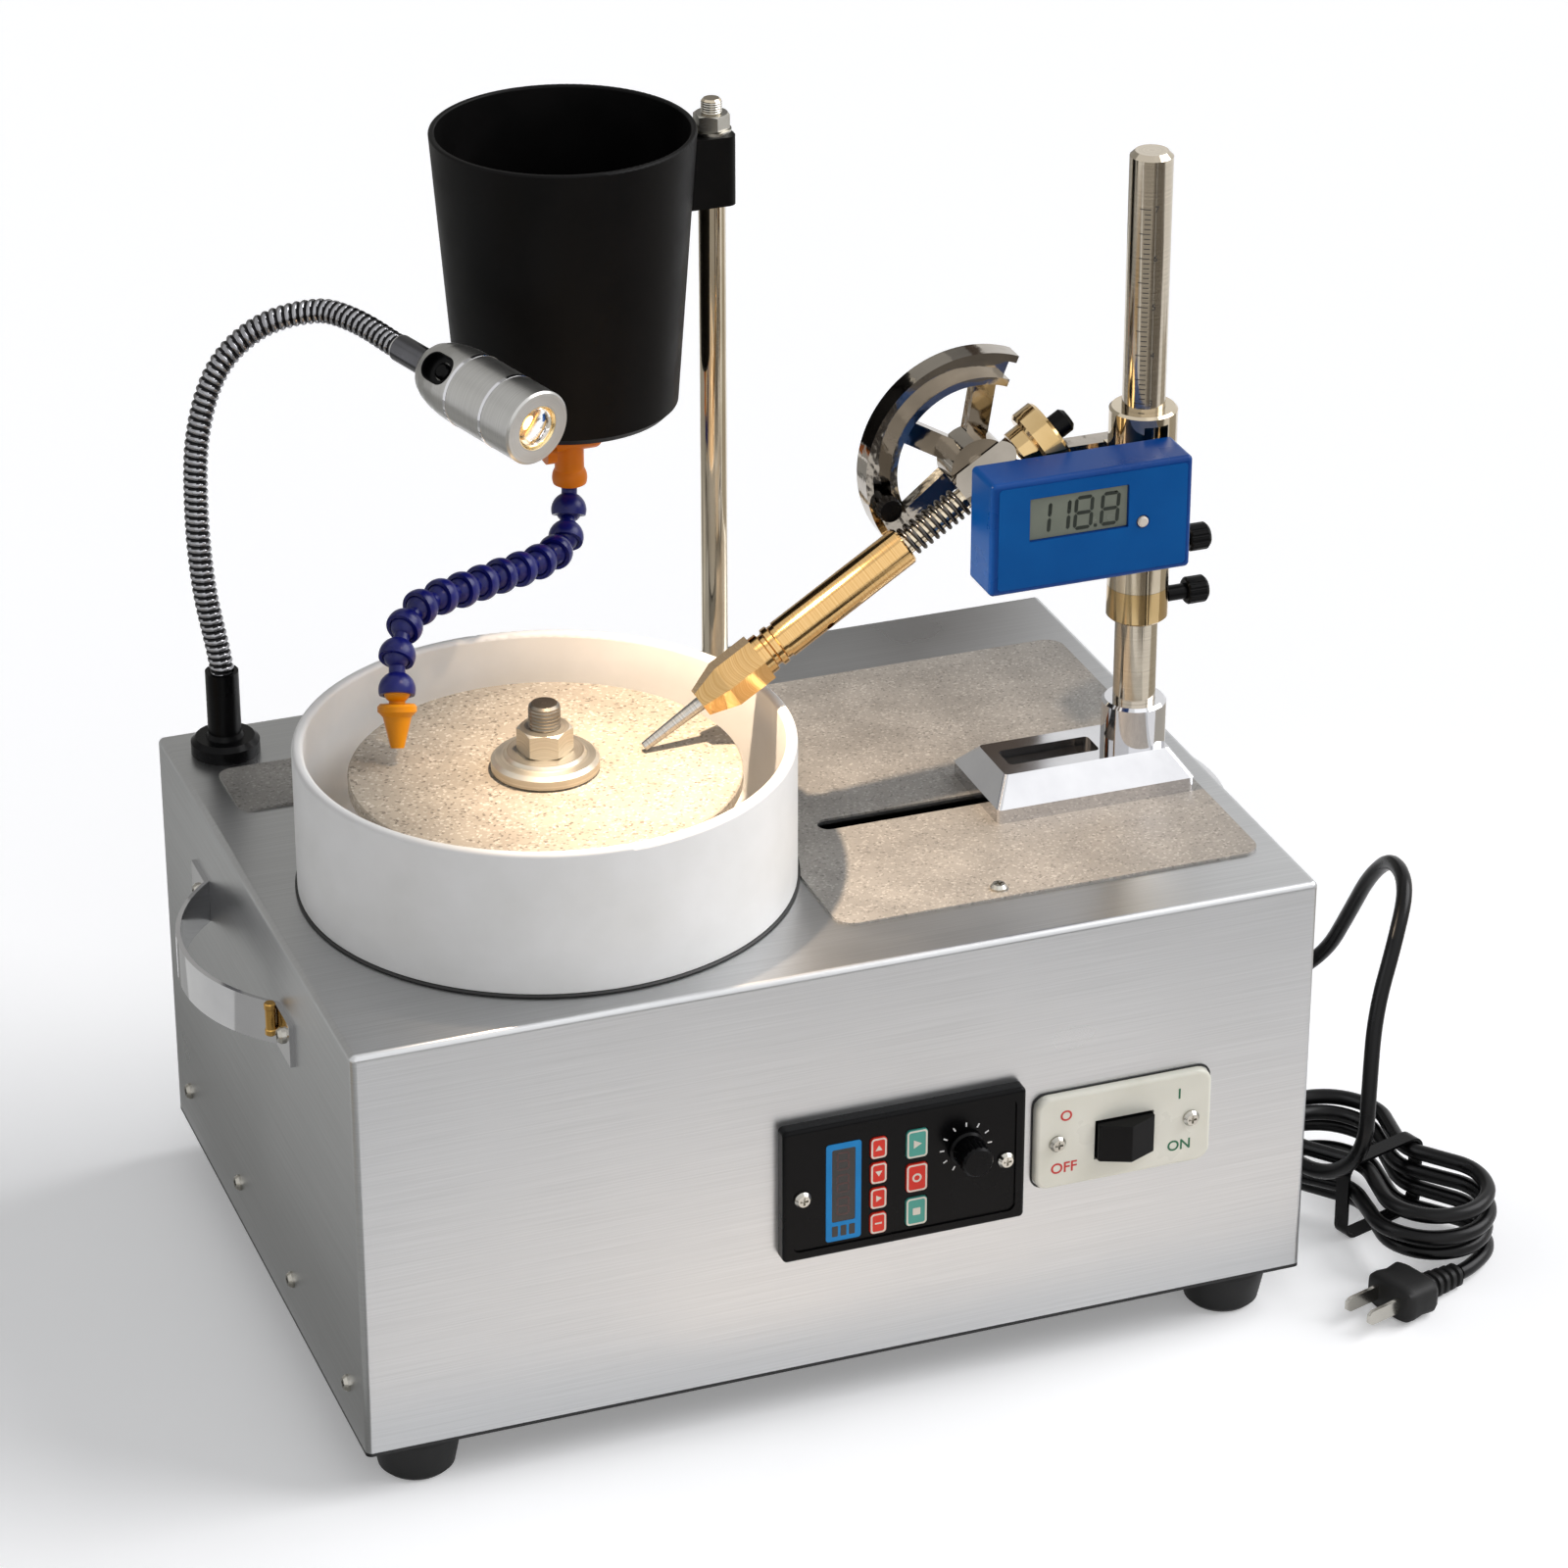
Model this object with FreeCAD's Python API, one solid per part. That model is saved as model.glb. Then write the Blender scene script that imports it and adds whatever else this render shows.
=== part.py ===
import FreeCAD, Part
import os
from math import cos, degrees, pi, radians, sin, sqrt, tan

V = FreeCAD.Vector
X = V(1, 0, 0)
Y = V(0, 1, 0)
Z = V(0, 0, 1)

# A bench gem-faceting machine. Millimetres, +X right, +Y back, +Z up.
# The origin is the centre of the footprint, on the bench.

# Fits: a shaft turning in a bore, a loose moving gap, two faces held a hair apart
run_fit = 0.05
move_gap = 0.3
seat_gap = 0.1

# Housing, a folded sheet box on a tray and four feet
case_w = 390.0
case_d = 280.0
case_h = 175.0
sheet = 1.5
bend_r = 2.5
tray_t = 1.5
tray_lip = 25.0
foot_h = 20.0
foot_top_r = 18.0
foot_tip_r = 15.0
foot_inset_x = 25.0
foot_inset_y = 20.0
deck_z = foot_h + case_h
side_x = case_w / 2
front_y = -case_d / 2

# Pan-head screws, all of one size
screw_head_r = 3.4
screw_head_h = 2.2
screw_shank_r = 2.0
screw_len = 7.0
screw_crown_r = 2.4
screw_edge_h = 0.9
cross_l = 3.4
cross_w = 0.9
cross_deep = 1.1
case_screw_z = foot_h + 20.0
case_screw_count = 4
case_screw_inset = 23.0

# Grinding axis: lap, spindle, slot and mast share one plane
axis_y = -30.0
lap_x = -83.0
lap_r = 76.0
lap_t = 5.0
spindle_r = 7.0
spindle_thread_r = 6.0
shoulder_r = 12.0
shoulder_z = deck_z + 20.0
shoulder_t = 7.0
platen_edge = 3.0
platen_hub_r = 20.0
platen_hub_t = 6.0
platen_t = 8.5
flange_r = 21.0
flange_t = 8.0
lap_nut_af = 19.0
lap_nut_t = 10.0
thread_over = 10.0
platen_r = lap_r - platen_edge
platen_z = shoulder_z + shoulder_t
lap_z = platen_z + platen_hub_t + platen_t
lap_top = lap_z + lap_t
flange_top = lap_top + flange_t
lap_nut_top = flange_top + lap_nut_t

# Motor under the deck
motor_r = 52.0
motor_h = 105.0
motor_plate = 112.0
motor_plate_t = 6.0
motor_rib = 2.5
motor_ribs = 10
shaft_in_motor = 95.0

# Splash bowl
lap_to_bowl = 16.5
bowl_wall = 4.5
bowl_r = lap_r + lap_to_bowl + bowl_wall
bowl_h = 60.0
bowl_floor = 4.0
dam_r = 18.0
dam_wall = 3.0
dam_h = 15.0
bowl_gap = 1.0

# Grit-coated plates on the deck
plate_t = 1.0
deck_plate_x0 = 8.0
deck_plate_x1 = side_x - 10.0
deck_plate_y0 = front_y + 30.0
deck_plate_y1 = 96.0
deck_plate_r = 8.0
rest_plate_x0 = -side_x + 14.0
rest_plate_x1 = -100.0
rest_plate_y0 = 62.0
rest_plate_y1 = 100.0
rest_plate_r = 6.0
deck_screw_x = 76.0
deck_screw_inset = 7.0

# Mast, its foot and the slot that guides it
mast_x = 164.0
mast_r = 8.5
mast_top = deck_z + 266.0
mast_chamfer = 2.0
slot_w = 9.0
slot_x0 = 29.0
slot_x1 = 160.0
foot_x0 = 96.0
foot_x1 = 181.0
foot_depth = 48.0
foot_band = 6.0
foot_rise = 16.0
foot_slope_x = 7.0
foot_slope_y = 10.0
tongue_x0 = 112.0
tongue_x1 = 152.0
tongue_drop = 8.0
pocket_x0 = 108.0
pocket_l = 39.0
pocket_w = 13.0
pocket_floor = 5.0
foot_collar_wall = 4.5
foot_collar_r = mast_r + foot_collar_wall
foot_collar_h = 18.0
foot_z = deck_z + plate_t

# Stop collar, head sleeve and their thumb knobs
collar_wall = 3.75
collar_r = mast_r + collar_wall
collar_z0 = deck_z + 71.0
collar_h = 14.0
sleeve_wall = 5.0
sleeve_r = mast_r + sleeve_wall
pad_out = 1.5
sleeve_h = 76.0
sleeve_step = 23.0
window_w = 10.0
window_h = 9.0
window_below_top = 4.0
sleeve_knob_up = 16.0
knob_screw_r = 2.5
knob_neck_r = 3.2
knob_neck_l = 8.0
knob_head_r = 5.5
knob_head_l = 9.0
knob_flutes = 14
knob_flute_r = 0.7
sleeve_z0 = collar_z0 + collar_h
sleeve_top = sleeve_z0 + sleeve_h

# Pivot of the quill, and the protractor round it
pivot = V(100.0, axis_y, deck_z + 140.0)
quill_tilt = 32.6
ring_r = 46.0
ring_w = 13.0
ring_t = 10.0
ring_lip = 3.0
ring_web = 4.0
ring_from = 68.0
ring_to = 225.0
ring_cut_x = 17.5
spoke_w = 9.0
spoke_t = 6.0
spoke_angles = (81.0, 150.0, 219.0)
hub_r = 12.5
arm_seat = 1.0
ring_y0 = axis_y + sleeve_r + arm_seat
arm_h = 20.0
arm_t = 9.0
journal_r = 6.0

# Readout box on the front of the sleeve
readout_x0 = mast_x - 78.0
readout_w = 84.0
readout_t = 20.0
readout_h = 47.0
readout_z0 = sleeve_z0 + 21.0
readout_back = axis_y - sleeve_r - pad_out
readout_edge = 2.0
lcd_x = 16.0
lcd_w = 41.0
lcd_h = 17.6
lcd_below_top = 8.0
lcd_deep = 1.2
readout_button_x = 63.2
readout_button_below = 24.4
readout_button_r = 2.2
readout_button_out = 1.2
readout_button_deep = 5.0

# Quill, measured along its axis from the pivot towards the lap
trunnion_af = 18.0
trunnion_front = 13.0
trunnion_rear = 14.0
pivot_nut_af = 16.0
pivot_nut_t = 6.0
quill_r = 4.5
quill_rear = 36.0
sleeve_start = 42.0
quill_sleeve_l = 60.0
quill_sleeve_r = 8.0
cross_hole_r = 1.7
cross_hole_s = 84.0
neck_ring_l = 11.0
neck_ring_r = 8.4
chuck_af = 18.0
chuck_l = 17.0
nose_l = 12.0
nose_af = 10.5
dop_root_r = 2.8
dop_tip_r = 1.9
dop_in_chuck = 26.0
tip_gap = 0.4
wheel_r = 14.0
wheel_t = 10.0
wheel_neck_r = 10.0
wheel_neck_l = 6.0
wheel_chamfer = 1.2
index_knob_wall = 0.5
index_knob_r = quill_r + index_knob_wall
index_knob_l = 8.0
spring_wire = 1.8
spring_turns = 9

# Water tank on its rod
rod_x = 37.0
rod_inset = 28.0
rod_y = case_d / 2 - rod_inset
rod_r = 5.5
stud_r = 4.0
rod_in_deck = 12.0
tank_r = 53.0
tank_to_rod = 9.0
tank_arm = tank_r + tank_to_rod
tank_base_r = 44.5
tank_h = 117.0
tank_wall = 2.5
tank_floor = 3.0
tank_z1 = deck_z + 250.0
bracket_w = 18.0
bracket_h = 29.0
bracket_below = 9.0
bracket_over = 8.0
rod_nut_af = 17.0
rod_nut_t = 8.0
top_nut_af = 13.0
top_nut_t = 6.5
washer_r = 8.0
washer_t = 1.6
stud_over = 6.0

# Valve, jointed hose and nozzle
outlet_r = 4.0
valve_flange_r = 9.0
valve_flange_t = 3.0
valve_r = 6.0
valve_drop = 26.0
barrel_r = 7.0
barrel_drop = 13.0
barrel_left = 11.0
barrel_right = 13.0
handle_plug_r = 4.0
handle_l = 20.0
handle_w = 9.0
handle_t = 4.0
ball_r = 5.4
ball_gap = 0.4
socket_wall = 1.4
socket_in_r = ball_r + ball_gap
socket_r = socket_in_r + socket_wall
socket_lip = 2.2
hose_neck_r = 3.2
hose_bore_r = 2.2
link_neck = 0.8
hose_pitch = ball_r + socket_r + link_neck
hose_upper_count = 6
nozzle_l = 17.0
nozzle_tip_r = 2.6
nozzle_hole_r = 1.4
nozzle_cone_r = 5.6
nozzle_flange_r = 7.6
nozzle_flange_t = 4.0

# Gooseneck lamp
lamp_inset_x = 23.0
lamp_inset_y = 22.0
lamp_x = -side_x + lamp_inset_x
lamp_y = case_d / 2 - lamp_inset_y
lamp_base_r = 14.0
lamp_base_t = 7.0
lamp_stem_r = 6.8
lamp_stem_h = 36.0
lamp_cup_r = 5.0
lamp_cup_deep = 12.0
neck_crest_r = 4.6
neck_root_r = 3.9
neck_ribs = 84
neck_plain = 14.0
ferrule_r = 5.4
ferrule_l = 20.0
lamp_face = V(-73.5, 0.0, deck_z + 174.7)
lamp_dir = V(0.366, -0.928, -0.087).normalize()
lamp_head_r = 15.0
lamp_head_l = 64.0
lamp_dome_l = 24.0
lamp_dome_r = 7.0
lamp_groove = 0.8
lamp_groove_back = (17.0, 38.0)
lens_rim_r = 9.0
lens_deep = 5.0
lamp_switch_back = 48.0
lamp_switch_r = 6.0
lamp_switch_l = 5.0
lamp_switch_sink = 9.5
lamp_button_r = 3.2
lamp_button_h = 2.6

# Operator panel and the drive unit behind it
panel_x0 = -28.7
panel_w = 100.0
panel_z0 = foot_h + 53.3
panel_h = 58.2
panel_t = 6.0
panel_edge = 1.6
panel_frame = 4.0
panel_sink = 0.8
unit_margin = 6.0
unit_deep = 60.0
key_travel = 0.6
key_out = 0.8
key_deep = 2.6
key_corner = 1.6
red_key = (6.8, 9.2)
wide_key = (8.8, 12.4)
red_key_x = panel_x0 + 39.0
red_key_z = panel_z0 + 10.3
red_key_pitch = 11.2
wide_key_x = panel_x0 + 54.8
wide_key_z = panel_z0 + 12.3
wide_key_pitch = 15.1
speed_x = panel_x0 + 75.3
speed_z = panel_z0 + 36.5
speed_r = 6.5
speed_h = 13.0
speed_skirt_r = 7.4
speed_skirt_h = 2.5
speed_post_r = 3.0
speed_flutes = 18
panel_screw_in = 8.0
panel_screw_z = panel_z0 + 27.3

# Switch plate and rocker
switch_x0 = 76.5
switch_w = 74.5
switch_z0 = foot_h + 62.0
switch_h = 41.0
switch_t = 4.0
switch_corner = 6.0
switch_edge = 1.8
switch_box_w = 34.0
switch_box_h = 26.0
switch_box_deep = 26.0
rocker_w = 23.5
rocker_h = 16.0
rocker_end = 3.0
rocker_ridge = 8.0
rocker_deep = 6.0
rocker_well = 12.0
switch_screw_in = 8.9

# Strap handles on both sides
handle_y0 = -40.0
handle_y1 = 64.0
handle_z = deck_z - 38.0
handle_band = 18.0
handle_bow = 25.0
strap_t = 2.0
tab_l = 20.0

# Mains lead
cord_r = 3.25
gland_y = 6.0
gland_z = 62.0
gland_flange_r = 9.0
gland_flange_t = 4.0
gland_l = 30.0
gland_root_r = 7.5
gland_tip_r = 4.6
hank_x = side_x + 59.0
hank_y = -92.0
hank_dir = V(0.30, -0.954, 0).normalize()
hank_half = 30.0
hank_end_r = 28.2
hank_waist = 16.0
hank_step = 8.6
hank_layers = 4
hank_eighths = 29
tie_t = 1.2
tie_w = 7.0
tie_gap = 0.6
plug_l = 40.0
plug_w = 26.0
plug_h = 16.0
plug_neck_r = 4.6
pin_l = 17.0
pin_w = 6.3
pin_t = 1.6
pin_spread = 12.7


def block(x0, x1, y0, y1, z0, z1):
    return Part.makeBox(x1 - x0, y1 - y0, z1 - z0, V(x0, y0, z0))


def rod(radius, start, end):
    axis = end - start
    return Part.makeCylinder(radius, axis.Length, start, axis)


def stand(shape, base, axis):
    shape.Placement = FreeCAD.Placement(base, FreeCAD.Rotation(Z, axis))
    return shape


def turned(profile, base=V(0, 0, 0), axis=Z):
    # profile is (radius, height) points round the half section
    points = [V(r, 0, h) for r, h in profile]
    face = Part.Face(Part.makePolygon(points + points[:1]))
    return stand(face.revolve(V(0, 0, 0), Z, 360), base, axis)


def hexagon(across_flats, height, base, axis, flat_angle=0.0):
    radius = across_flats / sqrt(3)
    points = []
    for i in range(7):
        a = radians(60 * i + 30 + flat_angle)
        points.append(V(radius * cos(a), radius * sin(a), 0))
    prism = Part.Face(Part.makePolygon(points)).extrude(V(0, 0, height))
    return stand(prism, base, axis)


def edges_along(shape, direction):
    found = []
    for edge in shape.Edges:
        if edge.Curve.TypeId != "Part::GeomLine":
            continue
        line = edge.Vertexes[-1].Point - edge.Vertexes[0].Point
        if line.Length > 0 and abs(line.normalize().dot(direction)) > 0.999:
            found.append(edge)
    return found


def edges_at(shape, axis, value):
    found = []
    for edge in shape.Edges:
        box = edge.BoundBox
        low, high = {"x": (box.XMin, box.XMax), "y": (box.YMin, box.YMax), "z": (box.ZMin, box.ZMax)}[axis]
        if abs(low - value) < 1e-4 and abs(high - value) < 1e-4:
            found.append(edge)
    return found


def rounded(shape, radius, direction):
    return shape.makeFillet(radius, edges_along(shape, direction))


def obround(x0, x1, width, z0, z1, y):
    r = width / 2
    body = block(x0 + r, x1 - r, y - r, y + r, z0, z1)
    ends = [rod(r, V(x, y, z0), V(x, y, z1)) for x in (x0 + r, x1 - r)]
    return body.fuse(ends).removeSplitter()


def union(first, *others):
    return first.fuse(list(others)).removeSplitter()


def arc_from(start, tangent, end):
    chord = end - start
    along = V(chord).normalize()
    if abs(V(tangent).normalize().dot(along)) > 1 - 1e-9:
        return Part.LineSegment(start, end).toShape()
    middle = V(tangent).normalize() + along
    half = chord.Length / 2 / cos(V(tangent).getAngle(chord) / 2)
    return Part.Arc(start, start + middle.normalize() * half, end).toShape()


def biarc(p1, t1, p2, t2):
    # two arcs that meet smoothly, with equal tangent lengths
    v = p2 - p1
    t = t1 + t2
    k = 2 * (1 - t1.dot(t2))
    if k > 1e-9:
        d = (-v.dot(t) + sqrt(v.dot(t) ** 2 + k * v.dot(v))) / k
    else:
        d = v.dot(v) / (4 * v.dot(t2))
    meet = (p1 + p2 + (t1 - t2) * d) / 2
    last = arc_from(p2, t2 * -1, meet)
    return [arc_from(p1, t1, meet), last]


def wound_tube(points, tangents, radius):
    edges = []
    for i in range(len(points) - 1):
        edges += biarc(points[i], tangents[i], points[i + 1], tangents[i + 1])
    start = points[0] - tangents[0] * (2 * radius)
    end = points[-1] + tangents[-1] * (2 * radius)
    edges.insert(0, Part.LineSegment(start, points[0]).toShape())
    edges.append(Part.LineSegment(points[-1], end).toShape())
    wire = Part.Wire(Part.__sortEdges__(edges))
    ring = Part.Wire(Part.makeCircle(radius, start, tangents[0]))
    shell = Part.BRepOffsetAPI.MakePipeShell(wire)
    shell.add(ring)
    shell.build()
    shell.makeSolid()
    return shell.shape(), wire


def least_self_gap(wire, radius, step=2.0):
    points = wire.discretize(Distance=step)
    apart = int(4 * radius / step) + 3
    least = 1e9
    for i in range(len(points)):
        for j in range(i + apart, len(points)):
            least = min(least, points[i].distanceToPoint(points[j]))
    return least - 2 * radius


def cord_tube(points, radius):
    # straight runs joined by arcs as large as the runs allow
    edges = []
    radii = []
    at = points[0]
    for i in range(1, len(points) - 1):
        back = points[i - 1] - points[i]
        ahead = points[i + 1] - points[i]
        cut = 0.45 * min(back.Length, ahead.Length)
        turn = pi - back.getAngle(ahead)
        radii.append(cut / tan(turn / 2))
        first = points[i] + V(back).normalize() * cut
        last = points[i] + V(ahead).normalize() * cut
        edges.append(Part.LineSegment(at, first).toShape())
        edges.append(arc_from(first, V(back) * -1, last))
        at = last
    edges.append(Part.LineSegment(at, points[-1]).toShape())
    wire = Part.Wire(edges)
    shell = Part.BRepOffsetAPI.MakePipeShell(wire)
    shell.add(Part.Wire(Part.makeCircle(radius, points[0], points[1] - points[0])))
    shell.build()
    shell.makeSolid()
    return shell.shape(), wire, radii


# Screws and the holes that they pass through
case_screw_run = case_d - 2 * case_screw_inset
handle_tabs = (handle_y0 - tab_l / 2, handle_y1 + tab_l / 2)
screw_seats = []
for side in (-1, 1):
    for i in range(case_screw_count):
        y = -case_d / 2 + case_screw_inset + case_screw_run * i / (case_screw_count - 1)
        screw_seats.append((V(side * side_x, y, case_screw_z), X * side))
    for y in handle_tabs:
        screw_seats.append((V(side * (side_x + strap_t), y, handle_z), X * side))
screw_seats.append((V(deck_screw_x, deck_plate_y0 + deck_screw_inset, foot_z), Z))
for x in (panel_x0 + panel_screw_in, panel_x0 + panel_w - panel_screw_in):
    screw_seats.append((V(x, front_y - panel_t + panel_sink, panel_screw_z), Y * -1))
for x in (switch_x0 + switch_screw_in, switch_x0 + switch_w - switch_screw_in):
    screw_seats.append((V(x, front_y - switch_t, switch_z0 + switch_h / 2), Y * -1))


def pan_head_screw(seat, out):
    profile = [(0, -screw_len), (screw_shank_r, -screw_len), (screw_shank_r, 0), (screw_head_r, 0),
               (screw_head_r, screw_edge_h), (screw_crown_r, screw_head_h), (0, screw_head_h)]
    half_l = cross_l / 2
    half_w = cross_w / 2
    low = screw_head_h - cross_deep
    cross = [block(-half_l, half_l, -half_w, half_w, low, screw_head_h + 1),
             block(-half_w, half_w, -half_l, half_l, low, screw_head_h + 1)]
    return stand(turned(profile).cut(cross), seat, out)


def screw_hole(seat, out):
    return rod(screw_shank_r + seat_gap, seat + out, seat - out * (screw_len + 1))


screws = [pan_head_screw(seat, out) for seat, out in screw_seats]
screw_holes = [screw_hole(seat, out) for seat, out in screw_seats]


def drilled(shape):
    return shape.cut(screw_holes)


# Shared cutters of the deck
bowl_clear = rod(bowl_r + bowl_gap, V(lap_x, axis_y, deck_z - 5), V(lap_x, axis_y, deck_z + 5))
slot_cut = obround(slot_x0, slot_x1, slot_w, deck_z - 10, deck_z + 10, axis_y)


def folded_box(inset, z0, z1, radius):
    box = block(-side_x + inset, side_x - inset, front_y + inset, -front_y - inset, z0, z1)
    return box.makeFillet(radius, edges_along(box, Z) + edges_at(box, "z", z1))


def housing_shell():
    z0 = foot_h + tray_t
    shell = folded_box(0, z0, deck_z, bend_r)
    shell = shell.cut(folded_box(sheet, z0 - 5, deck_z - sheet, bend_r - sheet))
    unit_x0 = panel_x0 + unit_margin - move_gap
    unit_x1 = panel_x0 + panel_w - unit_margin + move_gap
    cuts = [
        slot_cut,
        rod(platen_hub_r, V(lap_x, axis_y, deck_z - 5), V(lap_x, axis_y, deck_z + 5)),
        rod(rod_r + seat_gap, V(rod_x, rod_y, deck_z - 5), V(rod_x, rod_y, deck_z + 5)),
        block(unit_x0, unit_x1, front_y - 1, front_y + 5,
              panel_z0 + unit_margin - move_gap, panel_z0 + panel_h - unit_margin + move_gap),
        rod(gland_root_r + seat_gap, V(side_x - 5, gland_y, gland_z), V(side_x + 5, gland_y, gland_z)),
    ]
    box_x = switch_x0 + switch_w / 2
    box_z = switch_z0 + switch_h / 2
    cuts.append(block(box_x - switch_box_w / 2 - move_gap, box_x + switch_box_w / 2 + move_gap,
                      front_y - 1, front_y + 5,
                      box_z - switch_box_h / 2 - move_gap, box_z + switch_box_h / 2 + move_gap))
    return drilled(shell.cut(cuts))


def base_tray():
    floor = rounded(block(-side_x, side_x, front_y, -front_y, foot_h, foot_h + tray_t), bend_r, Z)
    gap = sheet + seat_gap
    lip = folded_box(gap, foot_h, foot_h + tray_lip, bend_r - sheet)
    inside = folded_box(gap + tray_t, foot_h - 1, foot_h + tray_lip + 5, bend_r - sheet)
    return drilled(union(floor, lip.cut(inside)))


def rubber_feet():
    profile = [(0, 0), (foot_tip_r - 2, 0), (foot_tip_r, 2), (foot_top_r, foot_h - 3), (foot_top_r, foot_h),
               (0, foot_h)]
    feet = []
    for sx in (-1, 1):
        for sy in (-1, 1):
            feet.append(turned(profile, V(sx * (side_x - foot_inset_x), sy * (case_d / 2 - foot_inset_y), 0)))
    return Part.makeCompound(feet)


def grit_plates():
    deck = block(deck_plate_x0, deck_plate_x1, deck_plate_y0, deck_plate_y1, deck_z, foot_z)
    deck = rounded(deck, deck_plate_r, Z).cut([bowl_clear, slot_cut])
    rest = block(rest_plate_x0, rest_plate_x1, rest_plate_y0, rest_plate_y1, deck_z, foot_z)
    rest = rounded(rest, rest_plate_r, Z).cut(bowl_clear)
    return Part.makeCompound([drilled(deck), rest])


def strap_handle(side):
    middle = (handle_y0 + handle_y1) / 2
    outer = Part.Arc(V(0, handle_y0 - strap_t, 0), V(handle_bow, middle, 0), V(0, handle_y1 + strap_t, 0))
    inner = Part.Arc(V(0, handle_y1, 0), V(handle_bow - strap_t, middle, 0), V(0, handle_y0, 0))
    ends = [Part.LineSegment(V(0, handle_y1 + strap_t, 0), V(0, handle_y1, 0)),
            Part.LineSegment(V(0, handle_y0, 0), V(0, handle_y0 - strap_t, 0))]
    outline = Part.Wire([outer.toShape(), ends[0].toShape(), inner.toShape(), ends[1].toShape()])
    bow = Part.Face(outline).extrude(V(0, 0, handle_band))
    tabs = [block(0, strap_t, handle_y0 - tab_l, handle_y0, 0, handle_band),
            block(0, strap_t, handle_y1, handle_y1 + tab_l, 0, handle_band)]
    strap = union(bow, *tabs)
    if side < 0:
        strap = strap.mirror(V(0, 0, 0), X)
    strap.translate(V(side * side_x, 0, handle_z - handle_band / 2))
    return drilled(strap)


def splash_bowl():
    wall_in = bowl_r - bowl_wall
    profile = [(dam_r - dam_wall, 0), (bowl_r - 1.5, 0), (bowl_r, 1.5), (bowl_r, bowl_h), (wall_in, bowl_h),
               (wall_in, bowl_floor), (dam_r, bowl_floor), (dam_r, dam_h), (dam_r - dam_wall, dam_h)]
    bowl = turned(profile, V(lap_x, axis_y, deck_z))
    bowl = bowl.makeFillet(bowl_wall * 0.45, edges_at(bowl, "z", deck_z + bowl_h))
    inner_foot = [e for e in edges_at(bowl, "z", deck_z + bowl_floor) if e.Curve.Radius > dam_r + 1]
    return bowl.makeFillet(5.0, inner_foot)


def motor_body():
    top = deck_z - sheet
    low = top - motor_plate_t - motor_h
    half = motor_plate / 2
    plate = block(lap_x - half, lap_x + half, axis_y - half, axis_y + half, top - motor_plate_t, top)
    plate = rounded(plate, 10, Z)
    rib_pitch = (motor_h - 30) / motor_ribs
    root = motor_r - 4
    profile = [(0, 0), (motor_r - 12, 0), (root, 8), (root, 15)]
    for i in range(motor_ribs):
        z = 15 + i * rib_pitch
        profile += [(motor_r, z), (motor_r, z + motor_rib), (root, z + motor_rib), (root, z + rib_pitch)]
    profile += [(root, motor_h), (0, motor_h)]
    body = turned(profile, V(lap_x, axis_y, low))
    bore = rod(spindle_r + run_fit, V(lap_x, axis_y, top - shaft_in_motor - 0.5), V(lap_x, axis_y, top + 1))
    return union(plate, body).cut(bore)


def motor_shaft():
    low = deck_z - sheet - shaft_in_motor
    end = lap_nut_top + thread_over
    thread = spindle_thread_r
    profile = [(0, low), (spindle_r, low), (spindle_r, shoulder_z), (shoulder_r, shoulder_z),
               (shoulder_r, platen_z), (spindle_r, platen_z), (spindle_r, lap_z - 1), (thread, lap_z - 1),
               (thread, end - 1), (thread - 1, end), (0, end)]
    return turned(profile, V(lap_x, axis_y, 0))


def lap_platen():
    bore = spindle_r + run_fit
    profile = [(bore, platen_z), (platen_hub_r, platen_z), (platen_hub_r, platen_z + platen_hub_t),
               (platen_r - 1, platen_z + platen_hub_t), (platen_r, platen_z + platen_hub_t + 1),
               (platen_r, lap_z), (bore, lap_z)]
    return turned(profile, V(lap_x, axis_y, 0))


def lap_disc():
    bore = spindle_thread_r + run_fit
    profile = [(bore, lap_z), (lap_r, lap_z), (lap_r, lap_top - 0.6), (lap_r - 0.6, lap_top), (bore, lap_top)]
    return turned(profile, V(lap_x, axis_y, 0))


def lap_flange():
    bore = spindle_thread_r + run_fit
    profile = [(bore, lap_top), (flange_r - 1, lap_top), (flange_r, lap_top + 1), (flange_r, lap_top + 4.5),
               (flange_r - 1.5, lap_top + 6), (flange_r - 5, lap_top + 6.6), (flange_r - 6, flange_top),
               (bore, flange_top)]
    return turned(profile, V(lap_x, axis_y, 0))


def hex_nut(across_flats, height, bore, base, axis, flat_angle=0.0):
    nut = hexagon(across_flats, height, base, axis, flat_angle)
    corner = across_flats / sqrt(3)
    slope = (corner - across_flats / 2) * 0.58
    cone = turned([(0, 0), (across_flats / 2, 0), (corner, slope), (corner, height - slope),
                   (across_flats / 2, height), (0, height)], base, axis)
    return nut.common(cone).cut(rod(bore, base - axis, base + axis * (height + 1)))


def lap_nut():
    return hex_nut(lap_nut_af, lap_nut_t, spindle_thread_r + run_fit, V(lap_x, axis_y, flange_top), Z, 10)


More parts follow.
